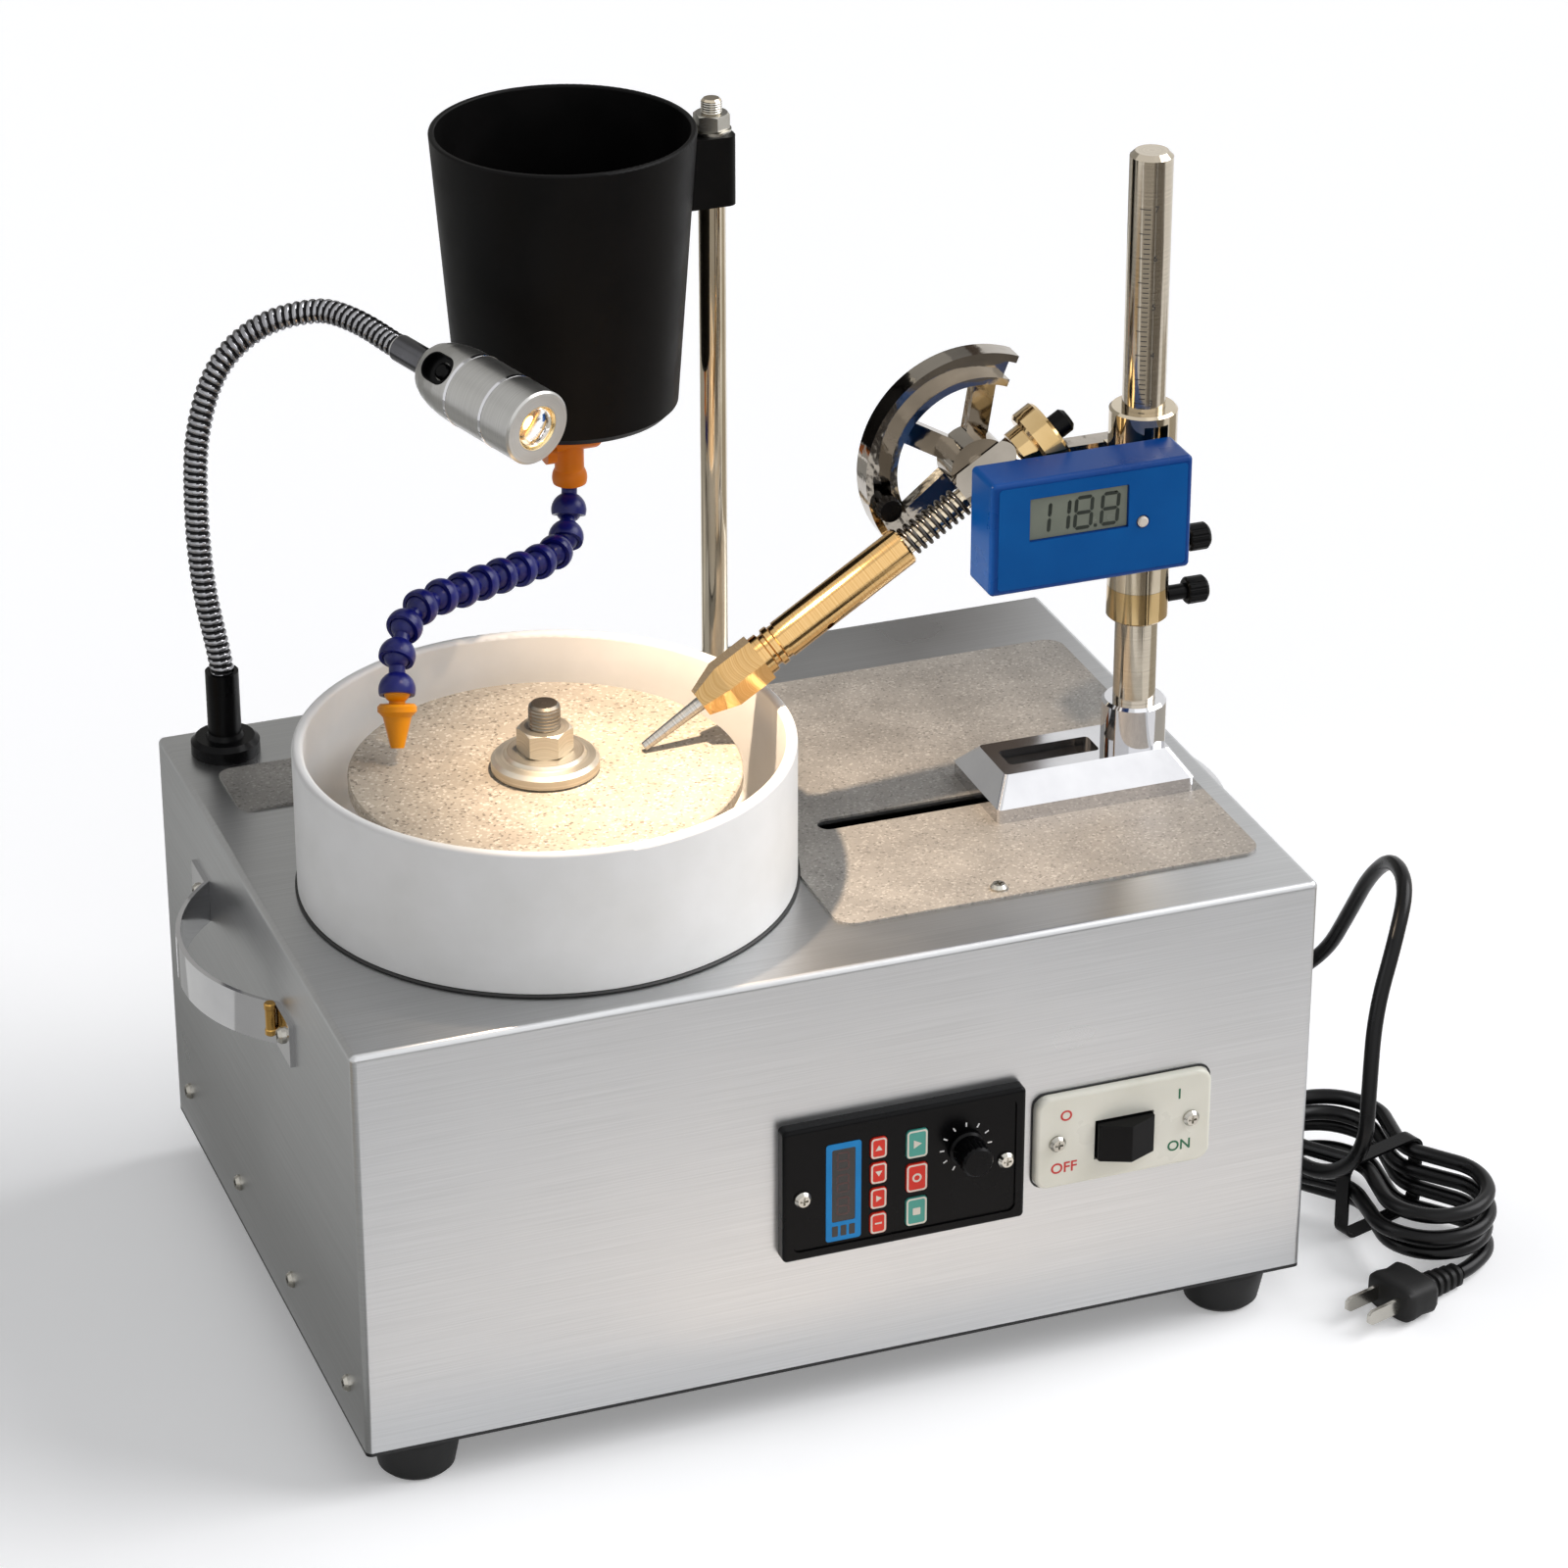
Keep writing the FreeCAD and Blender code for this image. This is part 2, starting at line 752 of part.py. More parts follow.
def mast_foot():
    y0 = axis_y - foot_depth / 2
    y1 = axis_y + foot_depth / 2
    band = rounded(block(foot_x0, foot_x1, y0, y1, foot_z, foot_z + foot_band), 2.5, Z)
    top = foot_z + foot_rise
    sections = []
    for sink, z in ((0, foot_z + foot_band), (1, top)):
        dx = foot_slope_x * sink
        dy = foot_slope_y * sink
        corners = [V(foot_x0 + dx, y0 + dy, z), V(foot_x1 - dx, y0 + dy, z),
                   V(foot_x1 - dx, y1 - dy, z), V(foot_x0 + dx, y1 - dy, z)]
        sections.append(Part.makePolygon(corners + corners[:1]))
    slope = Part.makeLoft(sections, True, True)
    slope = slope.makeFillet(2.4, [e for e in slope.Edges if e.BoundBox.ZLength > 1])
    r = foot_collar_r
    end = top + foot_collar_h
    profile = [(0, foot_z + 8), (r, foot_z + 8), (r, end - 1.2), (r - 1.2, end), (0, end)]
    collar = turned(profile, V(mast_x, axis_y, 0))
    tongue = obround(tongue_x0, tongue_x1, slot_w - 2 * move_gap, deck_z - tongue_drop, foot_z + 1, axis_y)
    pocket = block(pocket_x0, pocket_x0 + pocket_l, axis_y - pocket_w / 2, axis_y + pocket_w / 2,
                   foot_z + pocket_floor, top + 1)
    bore = rod(mast_r + run_fit, V(mast_x, axis_y, foot_z + pocket_floor), V(mast_x, axis_y, mast_top))
    return union(band, slope, collar, tongue).cut([rounded(pocket, 2, Z), bore])


def mast_rod():
    low = foot_z + pocket_floor
    c = mast_chamfer
    profile = [(0, low), (mast_r, low), (mast_r, mast_top - c), (mast_r - c, mast_top), (0, mast_top)]
    return turned(profile, V(mast_x, axis_y, 0))


def knob_hole(z):
    return rod(knob_screw_r + seat_gap, V(mast_x, axis_y, z), V(mast_x + 2 * sleeve_r, axis_y, z))


def stop_collar():
    bore = mast_r + run_fit
    z0 = collar_z0
    z1 = collar_z0 + collar_h - seat_gap
    profile = [(bore, z0), (collar_r - 1, z0), (collar_r, z0 + 1), (collar_r, z1), (bore, z1)]
    return turned(profile, V(mast_x, axis_y, 0)).cut(knob_hole(collar_z0 + collar_h / 2))


def thumb_knob(z, seat_r):
    tip = mast_r + run_fit + move_gap
    neck = seat_r + move_gap
    head = neck + knob_neck_l
    end = head + knob_head_l
    r = knob_head_r
    profile = [(0, tip), (knob_screw_r, tip), (knob_screw_r, neck), (knob_neck_r, neck), (knob_neck_r, head),
               (r - 0.8, head), (r, head + 0.8), (r, end - 1.2), (r - 1.2, end), (0, end)]
    flutes = []
    for i in range(knob_flutes):
        a = 2 * pi * i / knob_flutes
        at = V(0, (r + 0.25) * cos(a), (r + 0.25) * sin(a))
        flutes.append(rod(knob_flute_r, at + X * (head - 1), at + X * (end + 1)))
    flutes = Part.makeCompound(flutes)
    flutes.translate(V(mast_x, axis_y, z))
    return turned(profile, V(mast_x, axis_y, z), X).cut(flutes)


def head_sleeve():
    step = sleeve_z0 + sleeve_step
    profile = [(0, sleeve_z0), (collar_r, sleeve_z0), (collar_r, step), (sleeve_r, step),
               (sleeve_r, sleeve_top - 1), (sleeve_r - 1, sleeve_top), (0, sleeve_top)]
    sleeve = turned(profile, V(mast_x, axis_y, 0))
    pad_z = readout_z0 + 8
    front_pad = block(mast_x - 9, mast_x + 5, readout_back, axis_y, pad_z, pad_z + readout_h - 18)
    arm_z = pivot.z - arm_h / 2 - 9
    back_pad = block(mast_x - 10, mast_x + 10, axis_y, ring_y0, arm_z - 1, arm_z + arm_h + 1)
    bore = rod(mast_r + run_fit, V(mast_x, axis_y, sleeve_z0 - 1), V(mast_x, axis_y, sleeve_top + 1))
    z1 = sleeve_top - window_below_top
    half = window_w / 2
    window = block(mast_x - half, mast_x + half, axis_y - sleeve_r - 1, axis_y, z1 - window_h, z1)
    return union(sleeve, front_pad, back_pad).cut([bore, window, knob_hole(sleeve_z0 + sleeve_knob_up)])


def protractor():
    back = ring_y0 + ring_t
    r0 = ring_r - ring_w
    web = back - ring_web
    section = [(r0, ring_y0), (r0 + ring_lip, ring_y0), (r0 + ring_lip, web), (ring_r - ring_lip, web),
               (ring_r - ring_lip, ring_y0), (ring_r, ring_y0), (ring_r, back), (r0, back)]
    start = radians(ring_from)
    points = [V(pivot.x + r * cos(start), y, pivot.z + r * sin(start)) for r, y in section]
    ring = Part.Face(Part.makePolygon(points + points[:1])).revolve(pivot, Y * -1, ring_to - ring_from)
    hub = rod(hub_r, V(pivot.x, axis_y + trunnion_af / 2 + move_gap, pivot.z), V(pivot.x, back, pivot.z))
    spokes = []
    for angle in spoke_angles:
        spoke = block(0, r0 + ring_lip / 2, back - spoke_t, back, -spoke_w / 2, spoke_w / 2)
        spoke.rotate(V(0, 0, 0), Y, -angle)
        spoke.translate(V(pivot.x, 0, pivot.z))
        spokes.append(spoke)
    arm_z = pivot.z - arm_h / 2 - 9
    arm = block(pivot.x, mast_x + 10, ring_y0, ring_y0 + arm_t, arm_z, arm_z + arm_h)
    arm = rounded(arm, 3, Y)
    reach = ring_r + 5
    trim = block(pivot.x + ring_cut_x, pivot.x + reach, ring_y0 - 1, back + 1,
                 pivot.z + hub_r + 2, pivot.z + reach)
    bore = rod(journal_r + run_fit, V(pivot.x, axis_y, pivot.z), V(pivot.x, back + 1, pivot.z))
    return union(ring, hub, arm, *spokes).cut([trim, bore])


def readout_case():
    front = readout_back - readout_t
    case = block(readout_x0, readout_x0 + readout_w, front, readout_back, readout_z0, readout_z0 + readout_h)
    case = case.makeFillet(readout_edge, edges_along(case, Y) + edges_at(case, "y", front))
    z1 = readout_z0 + readout_h - lcd_below_top
    lcd = block(readout_x0 + lcd_x, readout_x0 + lcd_x + lcd_w, front - 1, front + lcd_deep, z1 - lcd_h, z1)
    centre = V(readout_x0 + readout_button_x, front, readout_z0 + readout_h - readout_button_below)
    hole = rod(readout_button_r + move_gap, centre - Y, centre + Y * readout_button_deep)
    return case.cut([lcd, hole])


def readout_button():
    front = readout_back - readout_t
    inside = readout_button_deep - 1.6
    z = readout_z0 + readout_h - readout_button_below
    base = V(readout_x0 + readout_button_x, front + inside, z)
    length = inside + readout_button_out
    r = readout_button_r
    return turned([(0, 0), (r, 0), (r, length - 0.6), (r - 0.6, length), (0, length)], base, Y * -1)


# The quill lies along this direction, from the pivot down to the lap
tilt = radians(quill_tilt)
quill_dir = V(-cos(tilt), 0, -sin(tilt))
quill_len = (pivot.z - lap_top - tip_gap - dop_tip_r * cos(tilt)) / sin(tilt)
neck_s = sleeve_start + quill_sleeve_l
chuck_s = neck_s + neck_ring_l
nose_s = chuck_s + chuck_l
chuck_end = nose_s + nose_l


def on_quill(s):
    return pivot + quill_dir * s


def along_quill(profile):
    return turned(profile, pivot, quill_dir)


def trunnion_block():
    length = trunnion_front + trunnion_rear
    corner = trunnion_af / sqrt(3)
    body = hexagon(trunnion_af, length, on_quill(-trunnion_rear), quill_dir, 30)
    flat = trunnion_af / 2
    profile = [(0, 0), (flat, 0), (corner, 2.4), (corner, length - 3), (flat, length), (0, length)]
    body = body.common(turned(profile, on_quill(-trunnion_rear), quill_dir))
    journal = rod(journal_r, pivot, V(pivot.x, ring_y0 + ring_t + pivot_nut_t + 1, pivot.z))
    bore = rod(quill_r + run_fit, on_quill(-trunnion_rear - 1), on_quill(trunnion_front + 1))
    return union(body, journal).cut(bore)


def pivot_nut():
    base = V(pivot.x, ring_y0 + ring_t + move_gap, pivot.z)
    return hex_nut(pivot_nut_af, pivot_nut_t, journal_r + run_fit, base, Y)


def quill_shaft():
    start = -quill_rear
    end = neck_s - 4
    return along_quill([(0, start), (quill_r - 0.5, start), (quill_r, start + 0.5), (quill_r, end), (0, end)])


def quill_spring():
    wire_r = spring_wire / 2
    mean_r = quill_r + wire_r + 0.2
    side = V(quill_dir).cross(Y)
    s0 = trunnion_front + wire_r + seat_gap
    s1 = sleeve_start - wire_r - seat_gap
    quarters = 4 * spring_turns
    rise = (s1 - s0) / quarters
    points = []
    tangents = []
    for i in range(quarters + 1):
        a = i * pi / 2
        radial = Y * cos(a) + side * sin(a)
        points.append(on_quill(s0 + rise * i) + radial * mean_r)
        along = (side * cos(a) - Y * sin(a)) * (mean_r * pi / 2) + quill_dir * rise
        tangents.append(along.normalize())
    coil, wire = wound_tube(points, tangents, wire_r)
    print("quill_spring self gap", round(least_self_gap(wire, wire_r, 0.8), 2))
    return coil


def quill_sleeve():
    bore = quill_r + run_fit
    s0 = sleeve_start
    r = quill_sleeve_r
    tube = along_quill([(bore, s0), (r - 0.8, s0), (r, s0 + 0.8), (r, neck_s), (bore, neck_s)])
    out = (Y * -cos(radians(35)) + quill_dir.cross(Y) * sin(radians(35))).normalize()
    return tube.cut(rod(cross_hole_r, on_quill(cross_hole_s), on_quill(cross_hole_s) + out * 12))


def dop_chuck():
    r = neck_ring_r
    s = neck_s
    ring = along_quill([(0, s), (r - 1, s), (r - 1, s + 2), (r, s + 2.6), (r, s + 5), (r - 1.4, s + 5.6),
                        (r - 1.4, s + 7), (r, s + 7.6), (r, chuck_s), (0, chuck_s)])
    body = hexagon(chuck_af, chuck_l, on_quill(chuck_s), quill_dir, 15)
    sections = []
    for flats, s in ((chuck_af, nose_s), (nose_af, chuck_end)):
        prism = hexagon(flats, 1, on_quill(s), quill_dir, 15)
        low = [f for f in prism.Faces if abs(f.CenterOfMass.distanceToPoint(on_quill(s))) < 1e-3]
        sections.append(low[0].OuterWire)
    nose = Part.makeLoft(sections, True, True)
    hole = rod(dop_root_r + run_fit, on_quill(chuck_end - dop_in_chuck), on_quill(chuck_end + 1))
    return union(ring, body, nose).cut(hole)


def dop_stick():
    start = chuck_end - dop_in_chuck
    return along_quill([(0, start), (dop_root_r, start), (dop_root_r, chuck_end + 1),
                        (dop_tip_r, quill_len - 0.3), (dop_tip_r - 0.3, quill_len), (0, quill_len)])


def index_wheel():
    near = -(trunnion_rear + move_gap)
    rim = near - wheel_neck_l
    far = rim - wheel_t
    bore = quill_r + run_fit
    c = wheel_chamfer
    return along_quill([(bore, far), (wheel_r - c, far), (wheel_r, far + c), (wheel_r, rim - c),
                        (wheel_r - c, rim), (wheel_neck_r, rim), (wheel_neck_r, near), (bore, near)])


def index_knob():
    near = -(trunnion_rear + move_gap + wheel_neck_l + wheel_t)
    far = near - index_knob_l
    bore = quill_r + run_fit
    r = index_knob_r
    inner = -quill_rear - 0.2
    return along_quill([(0, far), (r - 1.5, far), (r, far + 1.5), (r, near), (bore, near), (bore, inner),
                        (0, inner)])


# Tank, rod and bracket
tank_x = rod_x - tank_arm
tank_z0 = tank_z1 - tank_h
bracket_z1 = tank_z1 - bracket_below
bracket_z0 = bracket_z1 - bracket_h
rod_top = bracket_z1 + washer_t + top_nut_t + stud_over


def tank_cone(grow):
    profile = [(0, tank_z0), (tank_base_r + grow, tank_z0), (tank_r + grow, tank_z1), (0, tank_z1)]
    return turned(profile, V(tank_x, rod_y, 0))


def water_tank():
    wall = tank_wall
    profile = [(outlet_r, tank_z0), (tank_base_r - 3, tank_z0), (tank_base_r, tank_z0 + 3), (tank_r, tank_z1),
               (tank_r - wall, tank_z1), (tank_base_r - wall, tank_z0 + tank_floor),
               (outlet_r, tank_z0 + tank_floor)]
    tank = turned(profile, V(tank_x, rod_y, 0))
    return tank.makeFillet(0.9, edges_at(tank, "z", tank_z1))


def tank_bracket():
    half = bracket_w / 2
    x0 = tank_x + tank_base_r - 2
    body = block(x0, rod_x + bracket_over, rod_y - half, rod_y + half, bracket_z0, bracket_z1)
    ends = [e for e in edges_along(body, Z) if e.BoundBox.XMin > rod_x]
    body = body.makeFillet(4.0, ends)
    bore = rod(stud_r + run_fit, V(rod_x, rod_y, bracket_z0 - 1), V(rod_x, rod_y, bracket_z1 + 1))
    return body.cut([tank_cone(run_fit), bore])


def tank_rod():
    low = deck_z - rod_in_deck
    profile = [(0, low), (rod_r, low), (rod_r, bracket_z0), (stud_r, bracket_z0), (stud_r, rod_top - 0.8),
               (stud_r - 0.8, rod_top), (0, rod_top)]
    return turned(profile, V(rod_x, rod_y, 0))


def rod_nuts():
    at = V(rod_x, rod_y, bracket_z1)
    bore = stud_r + run_fit
    washer = turned([(bore, 0), (washer_r, 0), (washer_r, washer_t), (bore, washer_t)], at)
    top = hex_nut(top_nut_af, top_nut_t, bore, at + Z * washer_t, Z)
    foot = hex_nut(rod_nut_af, rod_nut_t, rod_r + run_fit, V(rod_x, rod_y, deck_z), Z)
    return Part.makeCompound([washer, top, foot])


# Jointed hose: ball centres step along one smooth line from the valve to the nozzle
hose_top = V(tank_x, rod_y, tank_z0 - valve_drop - 6.0)
hose_line = Part.BSplineCurve()
hose_line.interpolate([
    hose_top,
    hose_top + V(-2.6, -6.1, -11.4),
    hose_top + V(-7.2, -16.3, -18.4),
    hose_top + V(-15.1, -26.9, -19.3),
    hose_top + V(-46, -52, -14),
    hose_top + V(-72, -72, -8.5),
    hose_top + V(-91.2, -86, -6.9),
    hose_top + V(-98.8, -94.2, -9.4),
    hose_top + V(-104.6, -103.6, -16.6),
    hose_top + V(-107.4, -111.6, -26),
    hose_top + V(-108.4, -116, -38),
], InitialTangent=V(-0.2, -0.44, -0.87), FinalTangent=V(-0.08, -0.3, -0.95))


def ball_centres():
    centres = [hose_line.StartPoint]
    for point in hose_line.discretize(Number=4000):
        if point.distanceToPoint(centres[-1]) >= hose_pitch:
            centres.append(point)
    return centres


balls = ball_centres()
hose_lower_count = len(balls) - 1 - hose_upper_count
bends = []
for i in range(1, len(balls) - 1):
    bends.append(degrees((balls[i] - balls[i - 1]).getAngle(balls[i + 1] - balls[i])))
print("hose links", hose_upper_count, hose_lower_count, "bends", [round(b) for b in bends])


def arc2(start, through, end):
    return Part.Arc(V(start[0], 0, start[1]), V(through[0], 0, through[1]), V(end[0], 0, end[1])).toShape()


def height_on(r, x):
    return sqrt(r * r - x * x)


def revolved(edges, base, axis):
    face = Part.Face(Part.Wire(Part.__sortEdges__(edges)))
    return stand(face.revolve(V(0, 0, 0), Z, 360), base, axis)


def line2(a, b):
    return Part.LineSegment(V(a[0], 0, a[1]), V(b[0], 0, b[1])).toShape()


def hose_link(ball, socket):
    # a ball at one end, a neck, and a lipped socket for the next ball
    p = hose_pitch
    b, n = hose_bore_r, hose_neck_r
    ball_low = (b, -height_on(ball_r, b))
    ball_high = (n, height_on(ball_r, n))
    neck_end = (n, p - height_on(socket_r, n))
    lip_out = (height_on(socket_r, socket_lip), p + socket_lip)
    lip_in = (height_on(socket_in_r, socket_lip), p + socket_lip)
    cup = (b, p - height_on(socket_in_r, b))
    edges = [
        arc2(ball_low, (ball_r, 0), ball_high),
        line2(ball_high, neck_end),
        arc2(neck_end, (socket_r, p), lip_out),
        line2(lip_out, lip_in),
        arc2(lip_in, (socket_in_r, p), cup),
        line2(cup, ball_low),
    ]
    return revolved(edges, ball, socket - ball)


def hose_run(first, count):
    return Part.makeCompound([hose_link(balls[i], balls[i + 1]) for i in range(first, first + count)])


def valve_body():
    top = tank_z0
    at = V(tank_x, rod_y, 0)
    cup_z = hose_top.z
    b, n = hose_bore_r, valve_r
    neck_end = (n, cup_z + height_on(socket_r, n))
    lip_out = (height_on(socket_r, socket_lip), cup_z - socket_lip)
    lip_in = (height_on(socket_in_r, socket_lip), cup_z - socket_lip)
    cup = (b, cup_z + height_on(socket_in_r, b))
    spigot = outlet_r - run_fit
    corners = [(b, top + tank_floor), (spigot, top + tank_floor), (spigot, top), (valve_flange_r, top),
               (valve_flange_r, top - valve_flange_t), (n, top - valve_flange_t), neck_end]
    edges = [line2(corners[i], corners[i + 1]) for i in range(len(corners) - 1)]
    edges += [arc2(neck_end, (socket_r, cup_z), lip_out), line2(lip_out, lip_in),
              arc2(lip_in, (socket_in_r, cup_z), cup), line2(cup, corners[0])]
    body = revolved(edges, at, Z)
    axis = V(tank_x, rod_y, top - barrel_drop)
    barrel = rod(barrel_r, axis - X * barrel_left, axis + X * barrel_right)
    barrel = barrel.makeFillet(3.0, edges_at(barrel, "x", axis.x + barrel_right))
    bore = rod(handle_plug_r + run_fit, axis - X * (barrel_left + 1), axis)
    return union(body, barrel).cut(bore)


def valve_handle():
    axis = V(tank_x, rod_y, tank_z0 - barrel_drop)
    seat = axis - X * (barrel_left + move_gap)
    plug = rod(handle_plug_r, axis - X * 0.5, seat)
    boss = rod(barrel_r - 0.5, seat, seat - X * handle_t)
    half = handle_w / 2
    lever = block(seat.x - handle_t, seat.x, axis.y - handle_l, axis.y, axis.z - half, axis.z + half)
    tip = [e for e in edges_along(lever, X) if e.BoundBox.YMax < axis.y - 1]
    lever = lever.makeFillet(handle_w * 0.45, tip)
    return union(plug, boss, lever)


def drip_nozzle():
    ball = balls[-1]
    axis = (balls[-1] - balls[-2] + V(0, 0, -8)).normalize()
    b = hose_bore_r
    ball_low = (b, -height_on(ball_r, b))
    ball_high = (hose_neck_r, height_on(ball_r, hose_neck_r))
    start = 5.4
    flange = start + nozzle_flange_t
    tip = start + nozzle_l
    r = nozzle_flange_r
    corners = [ball_high, (hose_neck_r, start), (r - 1, start), (r, start + 1), (r, flange - 1),
               (nozzle_cone_r, flange + 1), (nozzle_tip_r, tip), (nozzle_hole_r, tip), ball_low]
    edges = [arc2(ball_low, (ball_r, 0), ball_high)]
    edges += [line2(corners[i], corners[i + 1]) for i in range(len(corners) - 1)]
    return revolved(edges, ball, axis)


# Gooseneck lamp
neck_start = V(lamp_x, lamp_y, deck_z + lamp_stem_h - lamp_cup_deep)
neck_end = lamp_face - lamp_dir * (lamp_head_l + ferrule_l)
neck_line = Part.BSplineCurve()
neck_line.interpolate([
    neck_start,
    neck_start + Z * neck_plain,
    V(lamp_x - 5, lamp_y + 1, deck_z + 73),
    V(lamp_x - 6, lamp_y + 3, deck_z + 106),
    V(lamp_x - 3, lamp_y + 5, deck_z + 139),
    V(lamp_x + 7, lamp_y + 7, deck_z + 164),
    V(lamp_x + 24, lamp_y + 6, deck_z + 179),
    V(lamp_x + 45, lamp_y - 2, deck_z + 186),
    neck_end - lamp_dir * 24 + V(-3, 2, 2),
    neck_end,
], InitialTangent=V(0, 0, 1), FinalTangent=V(lamp_dir))


def gooseneck():
    whole = neck_line.length()
    pitch = (whole - neck_plain) / neck_ribs
    steps = [(0.0, neck_crest_r), (neck_plain, neck_crest_r)]
    for i in range(neck_ribs):
        s = neck_plain + i * pitch
        steps += [(s + 0.18 * pitch, neck_root_r), (s + 0.40 * pitch, neck_root_r),
                  (s + 0.60 * pitch, neck_crest_r), (s + 0.98 * pitch, neck_crest_r)]
    circles = []
    steady = V(X)
    for s, r in steps:
        u = neck_line.parameterAtDistance(s, neck_line.FirstParameter)
        tangent = V(neck_line.tangent(u)[0])
        steady = (steady - tangent * steady.dot(tangent)).normalize()
        ring = Part.makeCircle(r)
        turn = FreeCAD.Rotation(steady, tangent.cross(steady), tangent, "ZXY")
        ring.Placement = FreeCAD.Placement(neck_line.value(u), turn)
        circles.append(Part.Wire(ring))
    return Part.makeLoft(circles, True, True)


def lamp_socket():
    top = lamp_stem_h
    cup = top - lamp_cup_deep
    profile = [(0, 0), (lamp_base_r, 0), (lamp_base_r, lamp_base_t - 2), (lamp_base_r - 2, lamp_base_t),
               (lamp_stem_r + 1, lamp_base_t), (lamp_stem_r, lamp_base_t + 2), (lamp_stem_r, top),
               (lamp_cup_r, top), (lamp_cup_r, cup), (0, cup)]
    return turned(profile, V(lamp_x, lamp_y, deck_z))


# The lamp's switch looks square out from the head, on the side that faces the operator
operator_eye = V(-0.311, -0.834, 0.456)
switch_out = (operator_eye - lamp_dir * operator_eye.dot(lamp_dir)).normalize()
switch_at = lamp_face - lamp_dir * lamp_switch_back
switch_floor = switch_at + switch_out * lamp_switch_sink


def lamp_head():
    tail = lamp_head_l + ferrule_l
    g = lamp_groove
    r = lamp_head_r
    profile = [(0, lens_deep), (lens_rim_r - 1.5, lens_deep), (lens_rim_r, 0), (r - 0.8, 0), (r, 0.8)]
    for back in lamp_groove_back:
        profile += [(r, back - g), (r - g, back - g / 2), (r - g, back + g / 2), (r, back + g)]
    dome = lamp_head_l - lamp_dome_l
    for i in range(7):
        a = radians(90 * i / 6)
        profile.append((lamp_dome_r + (r - lamp_dome_r) * cos(a), dome + lamp_dome_l * sin(a)))
    profile += [(ferrule_r, lamp_head_l), (ferrule_r, tail), (0, tail)]
    head = turned(profile, lamp_face, lamp_dir * -1)
    far = switch_at + switch_out * (lamp_head_r + 5)
    ends = [lamp_dir * -(lamp_switch_l / 2), lamp_dir * (lamp_switch_l / 2)]
    recess = [rod(lamp_switch_r, switch_floor + e, far + e) for e in ends]
    slab = Part.makeBox(lamp_switch_l, 2 * lamp_switch_r, 30)
    across = switch_out.cross(lamp_dir)
    turn = FreeCAD.Rotation(lamp_dir, across, switch_out, "ZXY")
    slab.Placement = FreeCAD.Placement(switch_floor + ends[0] - across * lamp_switch_r, turn)
    hole = rod(lamp_button_r + move_gap, switch_floor - switch_out * 3, far)
    return head.cut(recess + [slab, hole])


def lamp_button():
    r = lamp_button_r
    h = lamp_button_h
    profile = [(0, 0), (r, 0), (r, h), (r - 0.8, h + 0.8), (0, h + 0.8)]
    return turned(profile, switch_floor - switch_out * 1.4, switch_out)


# Operator panel and switch
panel_face = front_y - panel_t + panel_sink
keys = {}
for i in range(4):
    keys["red_key_%d" % (i + 1)] = (red_key_x, red_key_z + i * red_key_pitch, red_key)
for i, name in enumerate(("stop", "reset", "run")):
    keys["%s_key" % name] = (wide_key_x, wide_key_z + i * wide_key_pitch, wide_key)


def key_block(name, grow, y0, y1):
    x, z, (w, h) = keys[name]
    dx = w / 2 + grow
    dz = h / 2 + grow
    return rounded(block(x - dx, x + dx, y0, y1, z - dz, z + dz), key_corner + grow, Y)


def operator_panel():
    face = front_y - panel_t
    x1 = panel_x0 + panel_w
    z1 = panel_z0 + panel_h
    bezel = rounded(block(panel_x0, x1, face, front_y, panel_z0, z1), 2.0, Y)
    bezel = bezel.makeFillet(panel_edge, edges_at(bezel, "y", face))
    f = panel_frame
    field = block(panel_x0 + f, x1 - f, face - 1, panel_face, panel_z0 + f, z1 - f)
    m = unit_margin
    unit = block(panel_x0 + m, x1 - m, front_y, front_y + unit_deep, panel_z0 + m, z1 - m)
    well_end = panel_face + key_deep + key_travel + 0.4
    wells = [key_block(name, move_gap, panel_face - 1, well_end) for name in keys]
    centre = V(speed_x, panel_face, speed_z)
    post = rod(speed_post_r, centre + Y, centre - Y * (speed_h - 3))
    return drilled(union(bezel.cut([rounded(field, 3.0, Y)] + wells), unit, post))


def panel_key(name):
    key = key_block(name, 0, panel_face - key_out, panel_face + key_deep)
    return key.makeFillet(0.35, edges_at(key, "y", panel_face - key_out))


def speed_knob():
    base = V(speed_x, panel_face - move_gap, speed_z)
    r = speed_r
    bore = speed_post_r + run_fit
    profile = [(bore, 0), (speed_skirt_r, 0), (speed_skirt_r, speed_skirt_h - 0.8), (r, speed_skirt_h),
               (r, speed_h - 1), (r - 1, speed_h), (0, speed_h), (0, speed_h - 2.4), (bore, speed_h - 2.4)]
    knob = turned(profile, base, Y * -1)
    flutes = []
    for i in range(speed_flutes):
        a = 2 * pi * i / speed_flutes
        at = base + V(cos(a), 0, sin(a)) * (r + 0.3)
        flutes.append(rod(0.6, at - Y * (speed_skirt_h + 0.5), at - Y * (speed_h + 1)))
    return knob.cut(flutes)


rocker_x = switch_x0 + switch_w / 2
rocker_z = switch_z0 + switch_h / 2 - 2.0


